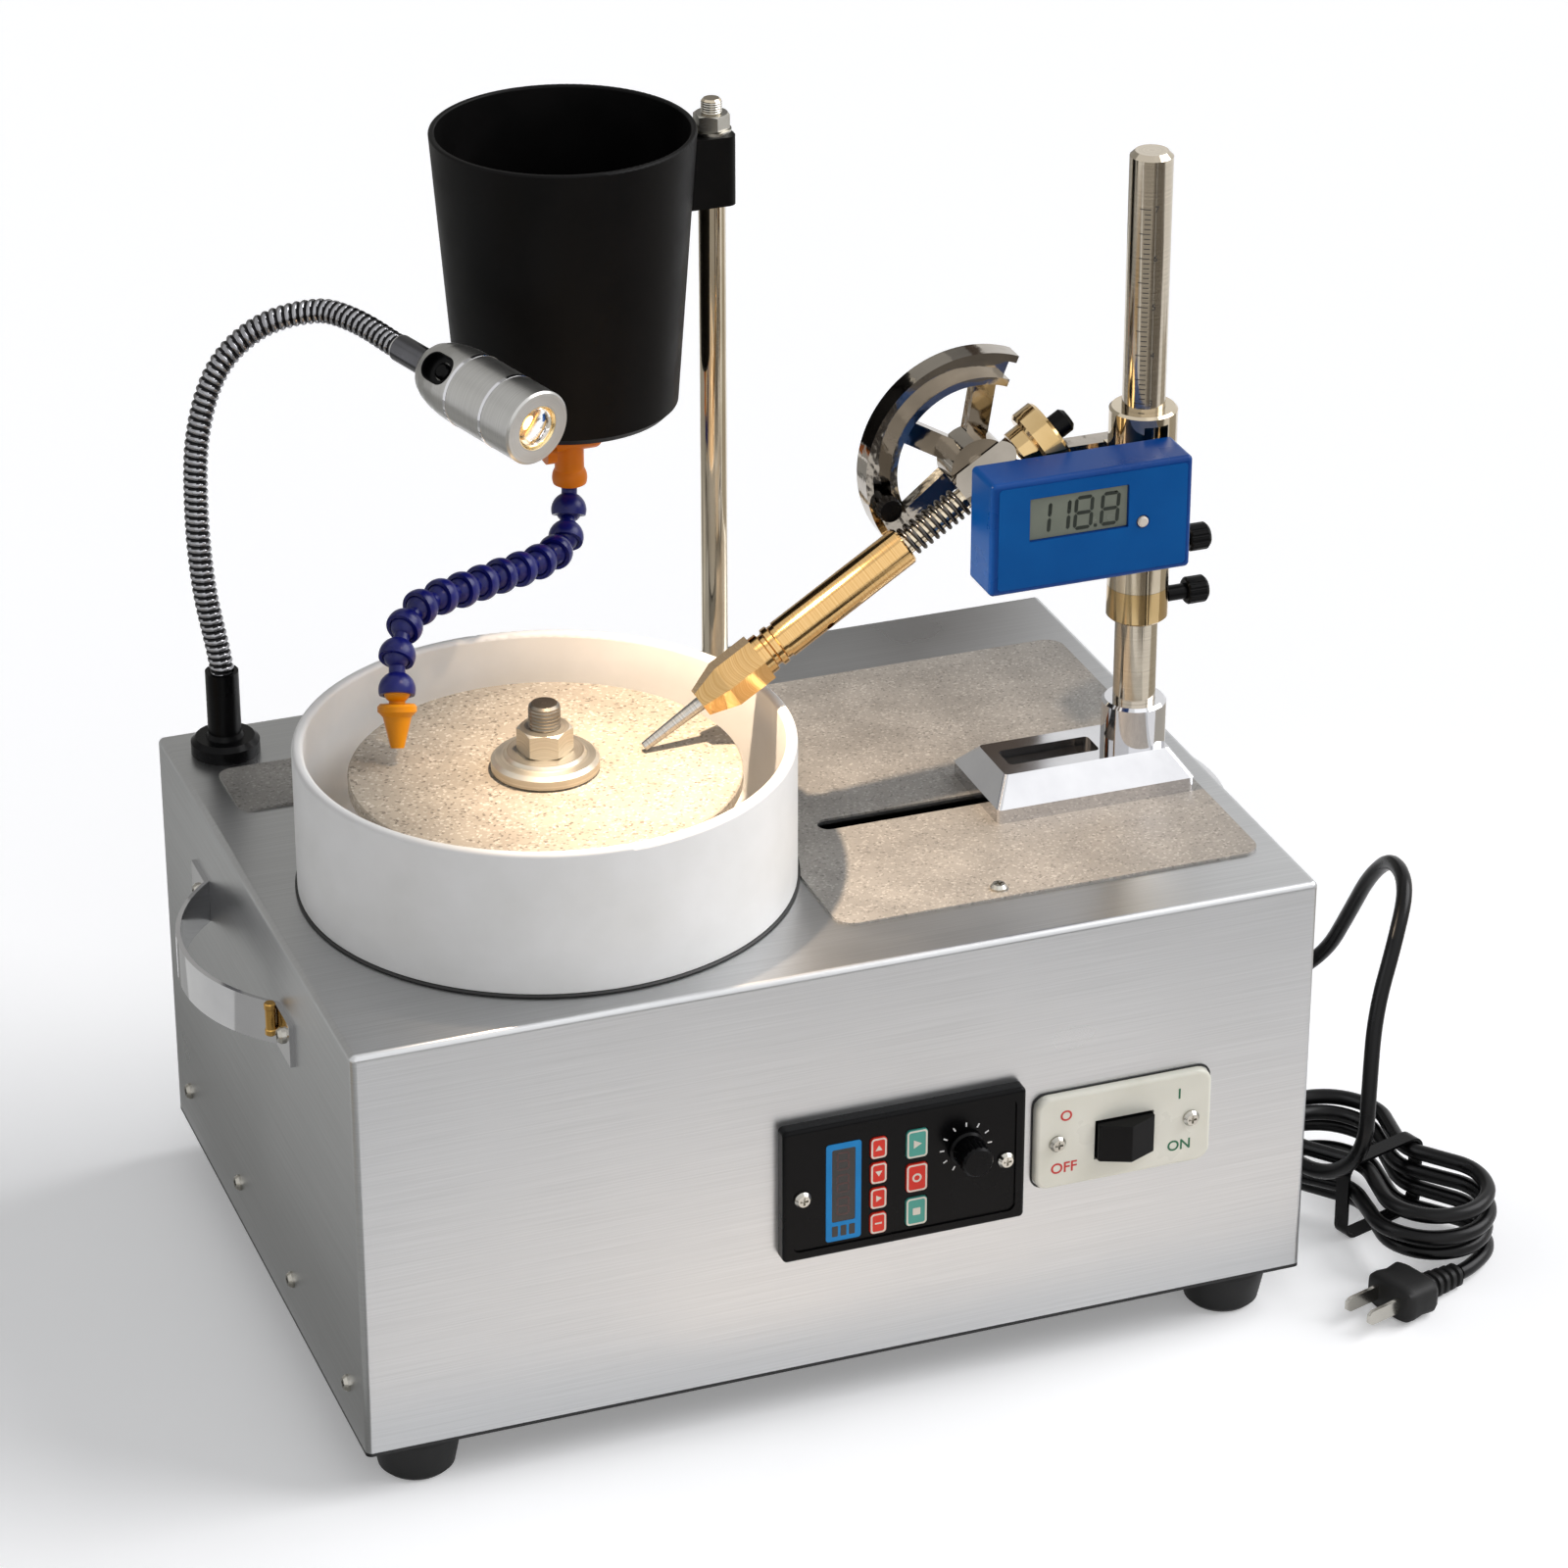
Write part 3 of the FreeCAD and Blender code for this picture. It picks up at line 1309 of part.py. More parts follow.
def switch_plate():
    face = front_y - switch_t
    plate = block(switch_x0, switch_x0 + switch_w, face, front_y, switch_z0, switch_z0 + switch_h)
    plate = rounded(plate, switch_corner, Y)
    plate = plate.makeFillet(switch_edge, edges_at(plate, "y", face))
    box_z = switch_z0 + switch_h / 2
    box = block(rocker_x - switch_box_w / 2, rocker_x + switch_box_w / 2, front_y, front_y + switch_box_deep,
                box_z - switch_box_h / 2, box_z + switch_box_h / 2)
    g = move_gap + 0.4
    well = block(rocker_x - rocker_w / 2 - g, rocker_x + rocker_w / 2 + g, face - 1, face + rocker_well,
                 rocker_z - rocker_h / 2 - g, rocker_z + rocker_h / 2 + g)
    return drilled(union(plate, box).cut(well))


def rocker_switch():
    # a roof-shaped paddle with a rounded back, tipping about an upright pin
    face = front_y - switch_t
    w = rocker_w / 2
    back = face + rocker_deep
    points = [V(-w, face - rocker_end, 0), V(0, face - rocker_ridge, 0), V(w, face - rocker_end, 0),
              V(w, face + 1.0, 0), V(w * 0.45, back, 0), V(-w * 0.45, back, 0), V(-w, face + 1.0, 0)]
    paddle = Part.Face(Part.makePolygon(points + points[:1])).extrude(V(0, 0, rocker_h))
    paddle = paddle.makeFillet(1.0, [e for e in edges_along(paddle, Z) if e.BoundBox.YMin < face - 1])
    paddle.translate(V(rocker_x, 0, rocker_z - rocker_h / 2))
    return paddle


# Mains lead: gland, free run, tied hank, plug
gland_end = V(side_x + gland_l, gland_y, gland_z)
hank_side = Z.cross(hank_dir)
hank_low = tie_t + tie_gap + cord_r + 0.1


def cord_gland():
    r = gland_root_r
    profile = [(0, -8), (r, -8), (r, 0), (gland_flange_r, 0), (gland_flange_r, gland_flange_t),
               (r, gland_flange_t + 0.5)]
    for i in range(4):
        z = gland_flange_t + 3 + i * 5.4
        taper = r + (gland_tip_r - r) * (i + 1) / 5
        profile += [(taper, z), (taper, z + 3.2), (taper - 1, z + 3.8), (taper - 1, z + 4.8)]
    profile += [(gland_tip_r, gland_l - 2), (gland_tip_r, gland_l), (0, gland_l)]
    return turned(profile, V(side_x, gland_y, gland_z), X)


def hank_key(i):
    # eight key points a loop: end bulge, end, bulge, waist, and the same at the other end
    turn = i / 8.0
    lap = int(turn)
    inset = hank_step * (turn - lap if lap % 2 == 0 else 1 - turn + lap)
    layer = hank_layers - 1 - max(0, lap - 1)
    if lap > 0:
        layer -= sin(pi * min(0.5, turn - lap))
    end = hank_end_r - inset
    waist = hank_waist - inset
    far = hank_half + end
    along, side, ta, ts = [
        (-hank_half, -end, -1, 0), (-far, 0, 0, 1), (-hank_half, end, 1, 0), (0, waist, 1, 0),
        (hank_half, end, 1, 0), (far, 0, 0, -1), (hank_half, -end, -1, 0), (0, -waist, -1, 0),
    ][i % 8]
    point = V(hank_x, hank_y, hank_low + layer * hank_step) + hank_dir * along + hank_side * side
    return point, (hank_dir * ta + hank_side * ts).normalize()


def hank_path():
    points = []
    tangents = []
    for i in range(hank_eighths + 1):
        point, tangent = hank_key(i)
        points.append(point)
        tangents.append(tangent)
    for i in range(1, hank_eighths):
        reach = points[i + 1].distanceToPoint(points[i - 1])
        fall = (points[i + 1].z - points[i - 1].z) / reach
        tangents[i] = (tangents[i] + Z * fall).normalize()
    return points, tangents


def cord_hank():
    points, tangents = hank_path()
    tube, wire = wound_tube(points, tangents, cord_r)
    print("cord_hank self gap", round(least_self_gap(wire, cord_r), 2), "length", round(wire.Length),
          "volume ratio", round(tube.Volume / (pi * cord_r ** 2 * wire.Length), 3))
    return tube


hank_points, hank_tangents = hank_path()
hank_in = hank_points[0] - hank_tangents[0] * (2 * cord_r)
hank_out = hank_points[-1] + hank_tangents[-1] * (2 * cord_r)
cord_route = [
    gland_end,
    gland_end + V(22, 0, 0),
    gland_end + V(40, -14, 16),
    gland_end + V(44, -32, 44),
    gland_end + V(46, -50, 72),
    gland_end + V(46, -74, 84),
    gland_end + V(38, -96, 72),
    gland_end + V(26, -112, 46),
    gland_end + V(22, -125, 16),
    hank_in - hank_tangents[0] * 50 + V(8, 2, 18),
    hank_in - hank_tangents[0] * 26,
    hank_in,
]


def power_cord():
    tube, wire, radii = cord_tube(cord_route, cord_r)
    print("power_cord radii", [round(r) for r in radii], "length", round(wire.Length),
          "volume ratio", round(tube.Volume / (pi * cord_r ** 2 * wire.Length), 3))
    return tube


def cord_tie():
    half = hank_waist + cord_r + tie_gap
    low = hank_low - cord_r - tie_gap
    high = hank_low + (hank_layers - 1) * hank_step + cord_r + tie_gap
    outer = block(-tie_w / 2, tie_w / 2, -half - tie_t, half + tie_t, low - tie_t, high + tie_t)
    inner = block(-tie_w, tie_w, -half, half, low, high)
    band = rounded(outer, 6.0, X).cut(rounded(inner, 6.0 - tie_t, X))
    turn = FreeCAD.Rotation(hank_dir, hank_side, Z, "ZXY")
    band.Placement = FreeCAD.Placement(V(hank_x, hank_y, 0), turn)
    return band


def power_plug():
    out = hank_tangents[-1]
    across = Z.cross(out)
    base_z = hank_out.z

    def section(s, w, low, high):
        at = hank_out + out * s
        corners = [at + across * (w / 2) + Z * (low - base_z), at + across * (w / 2) + Z * (high - base_z),
                   at - across * (w / 2) + Z * (high - base_z), at - across * (w / 2) + Z * (low - base_z)]
        return Part.makePolygon(corners + corners[:1])

    floor = 0.5
    r = plug_neck_r
    turn = FreeCAD.Rotation(out, across, Z, "ZXY")
    grip = plug_l * 0.45
    shoulder = plug_l - grip
    neck = Part.makeLoft([section(0, 2 * r, floor, floor + 2 * r),
                          section(shoulder, 2 * r + 4, floor, floor + 2 * r + 2),
                          section(shoulder + 3, plug_w - 5, floor + 1, floor + plug_h - 2)], True, True)
    body = Part.makeBox(grip, plug_w, plug_h)
    body = body.makeFillet(2.4, body.Edges)
    corner = hank_out + out * shoulder - across * (plug_w / 2) + Z * (floor - base_z)
    body.Placement = FreeCAD.Placement(corner, turn)
    body = union(body, neck)
    middle = hank_out + out * plug_l + Z * (floor + plug_h / 2 - base_z)
    pins = []
    for side in (-1, 1):
        pin = Part.makeBox(pin_l, pin_t, pin_w)
        corner = middle + across * (side * pin_spread / 2 - pin_t / 2) - Z * (pin_w / 2)
        pin.Placement = FreeCAD.Placement(corner, turn)
        pins.append(pin)
    return Part.makeCompound([body] + pins)


nodes = {
    "housing_shell": housing_shell(),
    "base_tray": base_tray(),
    "rubber_feet": rubber_feet(),
    "pan_head_screws": Part.makeCompound(screws),
    "grit_plates": grit_plates(),
    "side_handles": Part.makeCompound([strap_handle(-1), strap_handle(1)]),
    "splash_bowl": splash_bowl(),
    "motor_body": motor_body(),
    "motor_shaft": motor_shaft(),
    "lap_platen": lap_platen(),
    "lap_disc": lap_disc(),
    "lap_flange": lap_flange(),
    "lap_nut": lap_nut(),
    "mast_foot": mast_foot(),
    "mast_rod": mast_rod(),
    "stop_collar": stop_collar(),
    "collar_knob": thumb_knob(collar_z0 + collar_h / 2, collar_r),
    "head_sleeve": head_sleeve(),
    "sleeve_knob": thumb_knob(sleeve_z0 + sleeve_knob_up, collar_r),
    "protractor": protractor(),
    "readout_case": readout_case(),
    "readout_button": readout_button(),
    "trunnion_block": trunnion_block(),
    "pivot_nut": pivot_nut(),
    "quill_shaft": quill_shaft(),
    "quill_spring": quill_spring(),
    "quill_sleeve": quill_sleeve(),
    "dop_chuck": dop_chuck(),
    "dop_stick": dop_stick(),
    "index_wheel": index_wheel(),
    "index_knob": index_knob(),
    "tank_rod": tank_rod(),
    "rod_nuts": rod_nuts(),
    "tank_bracket": tank_bracket(),
    "water_tank": water_tank(),
    "valve_body": valve_body(),
    "valve_handle": valve_handle(),
    "hose_upper": hose_run(0, hose_upper_count),
    "hose_lower": hose_run(hose_upper_count, hose_lower_count),
    "drip_nozzle": drip_nozzle(),
    "lamp_socket": lamp_socket(),
    "gooseneck": gooseneck(),
    "lamp_head": lamp_head(),
    "lamp_button": lamp_button(),
    "operator_panel": operator_panel(),
    "speed_knob": speed_knob(),
    "switch_plate": switch_plate(),
    "rocker_switch": rocker_switch(),
    "cord_gland": cord_gland(),
    "power_cord": power_cord(),
    "cord_hank": cord_hank(),
    "cord_tie": cord_tie(),
    "power_plug": power_plug(),
}
for key_name in keys:
    nodes[key_name] = panel_key(key_name)

os.makedirs("parts", exist_ok=True)
for name, shape in nodes.items():
    if not shape.isValid():
        print("not valid:", name)
    shape.exportStep("parts/%s.step" % name)
print(len(nodes), "nodes; hose", len(balls) - 1, "links; quill", round(quill_len, 2), "long")
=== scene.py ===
import bmesh
import bpy
from math import cos, pi, radians, sin, sqrt
from mathutils import Matrix, Vector


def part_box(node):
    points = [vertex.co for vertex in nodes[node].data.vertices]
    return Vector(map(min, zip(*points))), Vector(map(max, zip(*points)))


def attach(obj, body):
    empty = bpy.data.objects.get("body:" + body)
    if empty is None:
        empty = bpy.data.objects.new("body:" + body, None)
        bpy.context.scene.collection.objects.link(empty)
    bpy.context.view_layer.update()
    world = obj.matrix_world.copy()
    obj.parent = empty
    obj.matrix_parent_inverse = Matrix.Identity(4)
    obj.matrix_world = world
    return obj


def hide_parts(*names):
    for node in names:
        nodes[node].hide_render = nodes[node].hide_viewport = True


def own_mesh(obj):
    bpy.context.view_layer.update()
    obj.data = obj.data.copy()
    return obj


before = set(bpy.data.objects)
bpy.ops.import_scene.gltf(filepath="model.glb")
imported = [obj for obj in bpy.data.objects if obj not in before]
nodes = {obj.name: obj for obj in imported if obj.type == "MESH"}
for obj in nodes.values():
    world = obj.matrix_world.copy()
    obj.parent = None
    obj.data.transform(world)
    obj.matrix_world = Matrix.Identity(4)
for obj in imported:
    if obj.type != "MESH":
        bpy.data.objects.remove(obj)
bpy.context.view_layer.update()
mm = 0.001
up = Vector((0, 0, 1))
print("frame loaded:", len(nodes), "nodes")


def place(x, y, z):
    return Vector((x, y, z)) * mm


def boxMm(nodeName):
    low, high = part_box(nodeName)
    return low / mm, high / mm


def linear(hexText, alpha=1.0):
    # sRGB hex to the linear values that shaders take
    parts = [int(hexText[i:i + 2], 16) / 255 for i in (1, 3, 5)]
    return [c / 12.92 if c <= 0.04045 else ((c + 0.055) / 1.055) ** 2.4 for c in parts] + [alpha]


def addNode(tree, kind, links=None, values=None, stops=None, **settings):
    # gives back the node's outputs; stops are a ramp's (position, hex) pairs
    node = tree.nodes.new("ShaderNode" + kind)
    for key, value in settings.items():
        setattr(node, key, value)
    for i, (at, shade) in enumerate(stops or []):
        stop = node.color_ramp.elements[i] if i < 2 else node.color_ramp.elements.new(at)
        stop.position, stop.color = at, linear(shade)
    for key, value in (values or {}).items():
        node.inputs[key].default_value = value
    for key, source in (links or {}).items():
        tree.links.new(source, node.inputs[key])
    return node.outputs


def perMetre(millimetres):
    # a texture scale whose features are about this wide
    return 1000.0 / millimetres


# widths in mm of the slow drift in each kind of finish
driftMm = {"plain": 26, "turned": 18, "brushed": 90, "streak": 70, "grit": 22, "glow": 2}
finish = {}


def startMaterial(name, **values):
    # the material goes into finish under its own name
    finish[name] = bpy.data.materials.new(name)
    finish[name].use_nodes = True
    tree = finish[name].node_tree
    shader = tree.nodes["Principled BSDF"]
    for key, value in values.items():
        shader.inputs[key.replace("_", " ")].default_value = value
    return tree, shader, addNode(tree, "TexCoord")["Object"]


def finishSurface(tree, shader, colour, glossFrom, rough, heightFrom, bump, deepMm):
    # colour, uneven gloss and relief go to the shader
    tree.links.new(colour, shader.inputs["Base Color"])
    gloss = addNode(tree, "MapRange", {"Value": glossFrom},
                    {"From Min": 0.3, "From Max": 0.7, "To Min": rough[0], "To Max": rough[1]})
    tree.links.new(gloss["Result"], shader.inputs["Roughness"])
    if bump:
        relief = addNode(tree, "Bump", {"Height": heightFrom}, {"Strength": bump, "Distance": deepMm * mm})
        tree.links.new(relief["Normal"], shader.inputs["Normal"])


def plainFinish(name, base, tint, rough, grainMm, bump=0.0, deepMm=0.2, shine=0.5, **values):
    # moulded, plated or printed: two close tones, uneven gloss and a fine skin
    tree, shader, coords = startMaterial(name, Specular_IOR_Level=shine, **values)
    patch = addNode(tree, "TexNoise", {"Vector": coords},
                    {"Scale": perMetre(driftMm["plain"]), "Detail": 5.0})
    skin = addNode(tree, "TexNoise", {"Vector": coords}, {"Scale": perMetre(grainMm), "Detail": 3.0})
    tone = addNode(tree, "ValToRGB", {"Fac": patch["Fac"]}, stops=[(0.32, base), (0.68, tint)])
    finishSurface(tree, shader, tone["Color"], patch["Fac"], rough, skin["Fac"], bump, deepMm)


def turnedFinish(name, base, tint, rough, axis, centre, lineMm, bump=0.04):
    # lathe work: tool lines run round the axis on the sides and in rings on the end faces,
    # drawn coarser than life so that they show
    tree, shader, coords = startMaterial(name, Metallic=1.0)
    arm = addNode(tree, "VectorMath", {0: coords}, {1: centre * mm}, operation="SUBTRACT")
    along = addNode(tree, "VectorMath", {0: arm[0]}, {1: axis}, operation="DOT_PRODUCT")
    cross = addNode(tree, "VectorMath", {0: arm[0]}, {1: axis}, operation="CROSS_PRODUCT")
    out = addNode(tree, "VectorMath", {0: cross[0]}, operation="LENGTH")
    walk = addNode(tree, "Math", {0: along["Value"], 1: out["Value"]}, operation="ADD")
    line = addNode(tree, "TexNoise", {"W": walk[0]}, {"Scale": perMetre(lineMm), "Detail": 2.0},
                   noise_dimensions="1D")
    patch = addNode(tree, "TexNoise", {"Vector": coords},
                    {"Scale": perMetre(driftMm["turned"]), "Detail": 4.0})
    tone = addNode(tree, "ValToRGB", {"Fac": line["Fac"]}, stops=[(0.3, base), (0.7, tint)])
    finishSurface(tree, shader, tone["Color"], patch["Fac"], rough, line["Fac"], bump, 0.05)


def brushedFinish(name, base, tint, rough, acrossMm, bump):
    # rolled sheet: long scratches, level on the sides and from side to side on the deck,
    # drawn coarser than life so that they show
    tree, shader, coords = startMaterial(name, Metallic=1.0)
    fine, slow = perMetre(acrossMm), perMetre(driftMm["streak"])
    upright = addNode(tree, "Mapping", {"Vector": coords}, {"Scale": (slow, slow, fine)})
    level = addNode(tree, "Mapping", {"Vector": coords}, {"Scale": (slow, fine, slow)})
    facing = addNode(tree, "NewGeometry")
    split = addNode(tree, "SeparateXYZ", {"Vector": facing["Normal"]})
    flat = addNode(tree, "Math", {0: split["Z"]}, {1: 0.7}, operation="GREATER_THAN")
    # sockets 4 and 5 are the mix's two vectors, and its second output is their mix
    pick = addNode(tree, "Mix", {0: flat[0], 4: upright[0], 5: level[0]}, data_type="VECTOR")
    scratch = addNode(tree, "TexNoise", {"Vector": pick[1]}, {"Scale": 1.0, "Detail": 4.0})
    cloud = addNode(tree, "TexNoise", {"Vector": coords},
                    {"Scale": perMetre(driftMm["brushed"]), "Detail": 3.0})
    tone = addNode(tree, "ValToRGB", {"Fac": scratch["Fac"]}, stops=[(0.3, base), (0.72, tint)])
    finishSurface(tree, shader, tone["Color"], cloud["Fac"], rough, scratch["Fac"], bump, 0.05)


def gritFinish(name, dark, body, pale, grainMm, rough, bump, **values):
    # bonded grit: pale and dark grains over a mid tone that drifts a little
    tree, shader, coords = startMaterial(name, **values)
    grains = addNode(tree, "TexVoronoi", {"Vector": coords}, {"Scale": perMetre(grainMm)})
    drift = addNode(tree, "TexNoise", {"Vector": coords}, {"Scale": perMetre(driftMm["grit"]), "Detail": 6.0})
    split = addNode(tree, "SeparateColor", {"Color": grains["Color"]})
    tone = addNode(tree, "ValToRGB", {"Fac": split[0]},
                   stops=[(0.0, dark), (1.0, pale), (0.14, body), (0.82, body)])
    shade = addNode(tree, "MapRange", {"Value": drift["Fac"]},
                    {"From Min": 0.3, "From Max": 0.7, "To Min": 0.86, "To Max": 1.08})
    mixed = addNode(tree, "VectorMath", {0: tone["Color"], "Scale": shade["Result"]}, operation="SCALE")
    finishSurface(tree, shader, mixed[0], drift["Fac"], rough, split[1], bump, 0.3)


def glowFinish(name, colour, edge, strength):
    # a glowing part, brighter in the middle of its own pattern; the lit LED is a light, while the faint glow
    # of the unlit LED is painted light
    tree, shader, coords = startMaterial(name, Roughness=0.3)
    patch = addNode(tree, "TexNoise", {"Vector": coords}, {"Scale": perMetre(driftMm["glow"]), "Detail": 2.0})
    tone = addNode(tree, "ValToRGB", {"Fac": patch["Fac"]}, stops=[(0.3, edge), (0.6, colour)])
    tree.links.new(tone["Color"], shader.inputs["Base Color"])
    tree.links.new(tone["Color"], shader.inputs["Emission Color"])
    shader.inputs["Emission Strength"].default_value = strength


# Axes of the turned pieces, in mm
tilt = radians(32.6)
quillDir = Vector((-cos(tilt), 0, -sin(tilt)))
pivot = Vector((100, -30, 335))
lapAxis = Vector((-83, -30, 195))
mastAxis = Vector((164, -30, 195))
lampFace = Vector((-73.5, 0.0, 369.7))
lampDir = Vector((0.366, -0.928, -0.087)).normalized()

# brushed stainless sheet: even grey, its streaks only just seen
brushedFinish("brushed stainless sheet", "#b4b5b6", "#c0c1c2", (0.27, 0.36), 0.6, 0.03)
# bright chrome on steel: a neutral mirror
plainFinish("chrome plate", "#d6d6d8", "#cbcbce", (0.05, 0.11), 3.0, Metallic=1.0)
# bright nickel plate: a mirror with a warm cast
plainFinish("bright nickel plate", "#cfc3ae", "#c3b69f", (0.05, 0.12), 3.0, Metallic=1.0)
# the same plate on hand-polished castings, its tone darkened as painted shade for the dark reflections it
# shows: the mirror is slightly wavy
plainFinish("nickel plate on castings with painted shade", "#b5ada2", "#9d968c", (0.05, 0.12), 14.0, 0.28, 1.0, Metallic=1.0)
# nickel plate tinted gold, the tint a painted warm reflection: a golden mirror
plainFinish("nickel plate with painted warm reflection", "#cdb284", "#b99d6c", (0.06, 0.13), 3.0, Metallic=1.0)
# ground nickel-plated rod: mirror bright with faint rings
turnedFinish("ground nickel rod", "#cbc1b0", "#bdb3a2", (0.09, 0.15), up, mastAxis, 0.8, 0.02)
# zinc-plated steel, dulled by wet grit: pale and satin
turnedFinish("dulled zinc plate", "#c9c2b4", "#b8b0a0", (0.36, 0.48), up, lapAxis, 0.7, 0.08)
# cut steel thread, browned a little
turnedFinish("cut steel", "#8d867b", "#746d62", (0.30, 0.42), up, lapAxis, 0.7, 0.08)
# ground tool steel: grey with fine lathe lines
turnedFinish("ground tool steel", "#b9b6b0", "#a5a29c", (0.16, 0.26), quillDir, pivot, 0.6, 0.05)
# spring steel, oiled dark
plainFinish("oiled spring steel", "#5e5b57", "#4b4845", (0.16, 0.26), 1.0, 0.03, Metallic=1.0)
# wound strip of the gooseneck: bright crests, with a dark seam between the turns; the seam's near-black copy
# of the strip is painted shade
plainFinish("wound steel strip", "#97979a", "#868689", (0.12, 0.20), 1.2, 0.03, Metallic=1.0)
plainFinish("painted seam shade", "#1d1d1e", "#262627", (0.40, 0.55), 1.2, 0.03, Metallic=1.0)
# blackened chrome on the ferrule behind the lamp: a dark mirror
plainFinish("black chrome", "#5c5c5f", "#4e4e51", (0.12, 0.20), 1.5, Metallic=1.0)
# turned brass under lacquer: warm, with sharp highlights along it
turnedFinish("turned brass", "#d4b07a", "#c29b62", (0.08, 0.14), quillDir, pivot, 0.7, 0.015)
# drawn brass, bare: deeper and duller
plainFinish("drawn brass", "#c39a55", "#b0894a", (0.20, 0.30), 1.5, 0.03, Metallic=1.0)
# anodised aluminium, turned then bead blasted: pale satin
turnedFinish("anodised aluminium", "#b4b3b0", "#a8a7a4", (0.27, 0.36), lampDir, lampFace, 0.6, 0.05)
# machined cast aluminium: dull grey
plainFinish("machined cast aluminium", "#a9a9a8", "#989898", (0.28, 0.38), 1.2, 0.06, Metallic=1.0)
# zinc-plated screws: bright with a faint cloud
plainFinish("zinc plate", "#bdbab2", "#a5a29a", (0.18, 0.30), 1.5, 0.03, Metallic=1.0)
# moulded ABS, black: soft sheen on a fine texture
plainFinish("black moulded ABS", "#050506", "#080809", (0.22, 0.32), 0.7, 0.06, shine=0.1)
# rotomoulded polypropylene: matte black, faintly mottled
plainFinish("black polypropylene", "#030303", "#070606", (0.40, 0.52), 0.9, 0.10, shine=0.1)
# moulded ABS, blue, and the printed film on its front: deep colour, the film a little lighter
plainFinish("blue moulded ABS", "#003a80", "#004189", (0.24, 0.34), 0.8, 0.06, shine=0.2)
plainFinish("blue printed film", "#004f94", "#00569c", (0.30, 0.40), 1.2, 0.03, shine=0.12)
# urea plate: warm ivory with a soft gloss
plainFinish("ivory urea", "#e0ded2", "#d8d6c8", (0.26, 0.36), 1.2, 0.04)
# turned polyethylene: white, satin, slightly waxy
plainFinish("white polyethylene", "#ecebe9", "#e5e4e1", (0.36, 0.46), 1.5, 0.04, Subsurface_Weight=0.06,
            Subsurface_Radius=(0.006, 0.006, 0.006))
# nitrile rubber: near black and dull
plainFinish("black rubber", "#080808", "#0d0d0d", (0.50, 0.65), 0.8, 0.15, shine=0.3)
# PVC cord jacket: black with a soft line of light
plainFinish("black PVC jacket", "#040405", "#070708", (0.24, 0.34), 1.0, 0.05, shine=0.2)
# acetal hose links and fittings: slightly waxy
plainFinish("navy acetal", "#0a0e58", "#0e1464", (0.24, 0.34), 1.2, 0.04, shine=0.3)
plainFinish("orange acetal", "#d66e00", "#de7a04", (0.30, 0.40), 1.2, 0.05, shine=0.25,
            Subsurface_Weight=0.05, Subsurface_Radius=(0.003, 0.0012, 0.0006))
plainFinish("amber acetal", "#d28200", "#db8d04", (0.30, 0.40), 1.2, 0.05, shine=0.25,
            Subsurface_Weight=0.05, Subsurface_Radius=(0.003, 0.0014, 0.0006))
# stoved enamel on the motor and the tray: black with a low gloss
plainFinish("black enamel", "#0b0b0c", "#111112", (0.32, 0.44), 1.5, 0.06, shine=0.4)
# diamond lap: sandy bonded grit, grains drawn coarser than life so that they show
gritFinish("sandy bonded grit", "#6a6156", "#a2998b", "#c6beb1", 1.0, (0.62, 0.74), 0.4)
# embossed grit-faced sheet on the deck: greyer, with a dull shine
gritFinish("embossed grit sheet", "#75726e", "#94918c", "#b0ada8", 0.85, (0.36, 0.48), 0.3, Metallic=0.3)
# moulded ABS keys: strong flat colour with a soft sheen
plainFinish("red moulded ABS", "#d02a1c", "#d83626", (0.30, 0.40), 1.0, 0.05, shine=0.25)
plainFinish("green moulded ABS", "#3b9486", "#459f90", (0.30, 0.40), 1.0, 0.05)
# the readout's button, and the inks in print and engraving: flat and matte
matteTones = {"pale moulded ABS": ("#dcd3c6", "#d2c8ba"), "pale screen ink": ("#dcd3c6", "#d2c8ba"),
              "white screen ink": ("#e6e6e4", "#dcdcda"), "red screen ink": ("#c62f2a", "#bb2924"),
              "green screen ink": ("#1f6a46", "#195e3d"), "engraved ink": ("#2a2826", "#35322f")}
for name, (base, tint) in matteTones.items():
    plainFinish(name, base, tint, (0.45, 0.55), 1.0)
plainFinish("blue screen ink", "#0a76b6", "#1081c2", (0.40, 0.50), 1.0, shine=0.25)
# liquid crystal under a flat window: grey-green with near-black figures
plainFinish("liquid crystal field", "#7b8073", "#6f7468", (0.20, 0.28), 2.0)
plainFinish("liquid crystal ink", "#20261f", "#282e27", (0.24, 0.32), 2.0)
# smoked acrylic over the display: a dark gloss, its unlit figures just seen
plainFinish("smoked acrylic", "#130e0d", "#191211", (0.10, 0.16), 2.0)
# the display's unlit LED segments still glow faintly: painted light
glowFinish("unlit red LED with painted glow", "#3a1412", "#2a0f0d", 0.1)
# lit LED, and the gilded cup that spreads it: warm and bright
glowFinish("warm LED", "#ffe6b8", "#ffd596", 6.0)
plainFinish("gilded reflector", "#e8cf9c", "#d8ba80", (0.12, 0.22), 1.0, 0.05, Metallic=1.0)
# seal rubber: black and dull
plainFinish("seal rubber", "#090909", "#0f0f0f", (0.5, 0.6), 1.0, 0.05)
# moulded acrylic lens: clear with a faint warm tint
plainFinish("moulded acrylic", "#fff3da", "#fbeccb", (0.04, 0.10), 2.0, 0.03,
            IOR=1.49, Transmission_Weight=1.0)

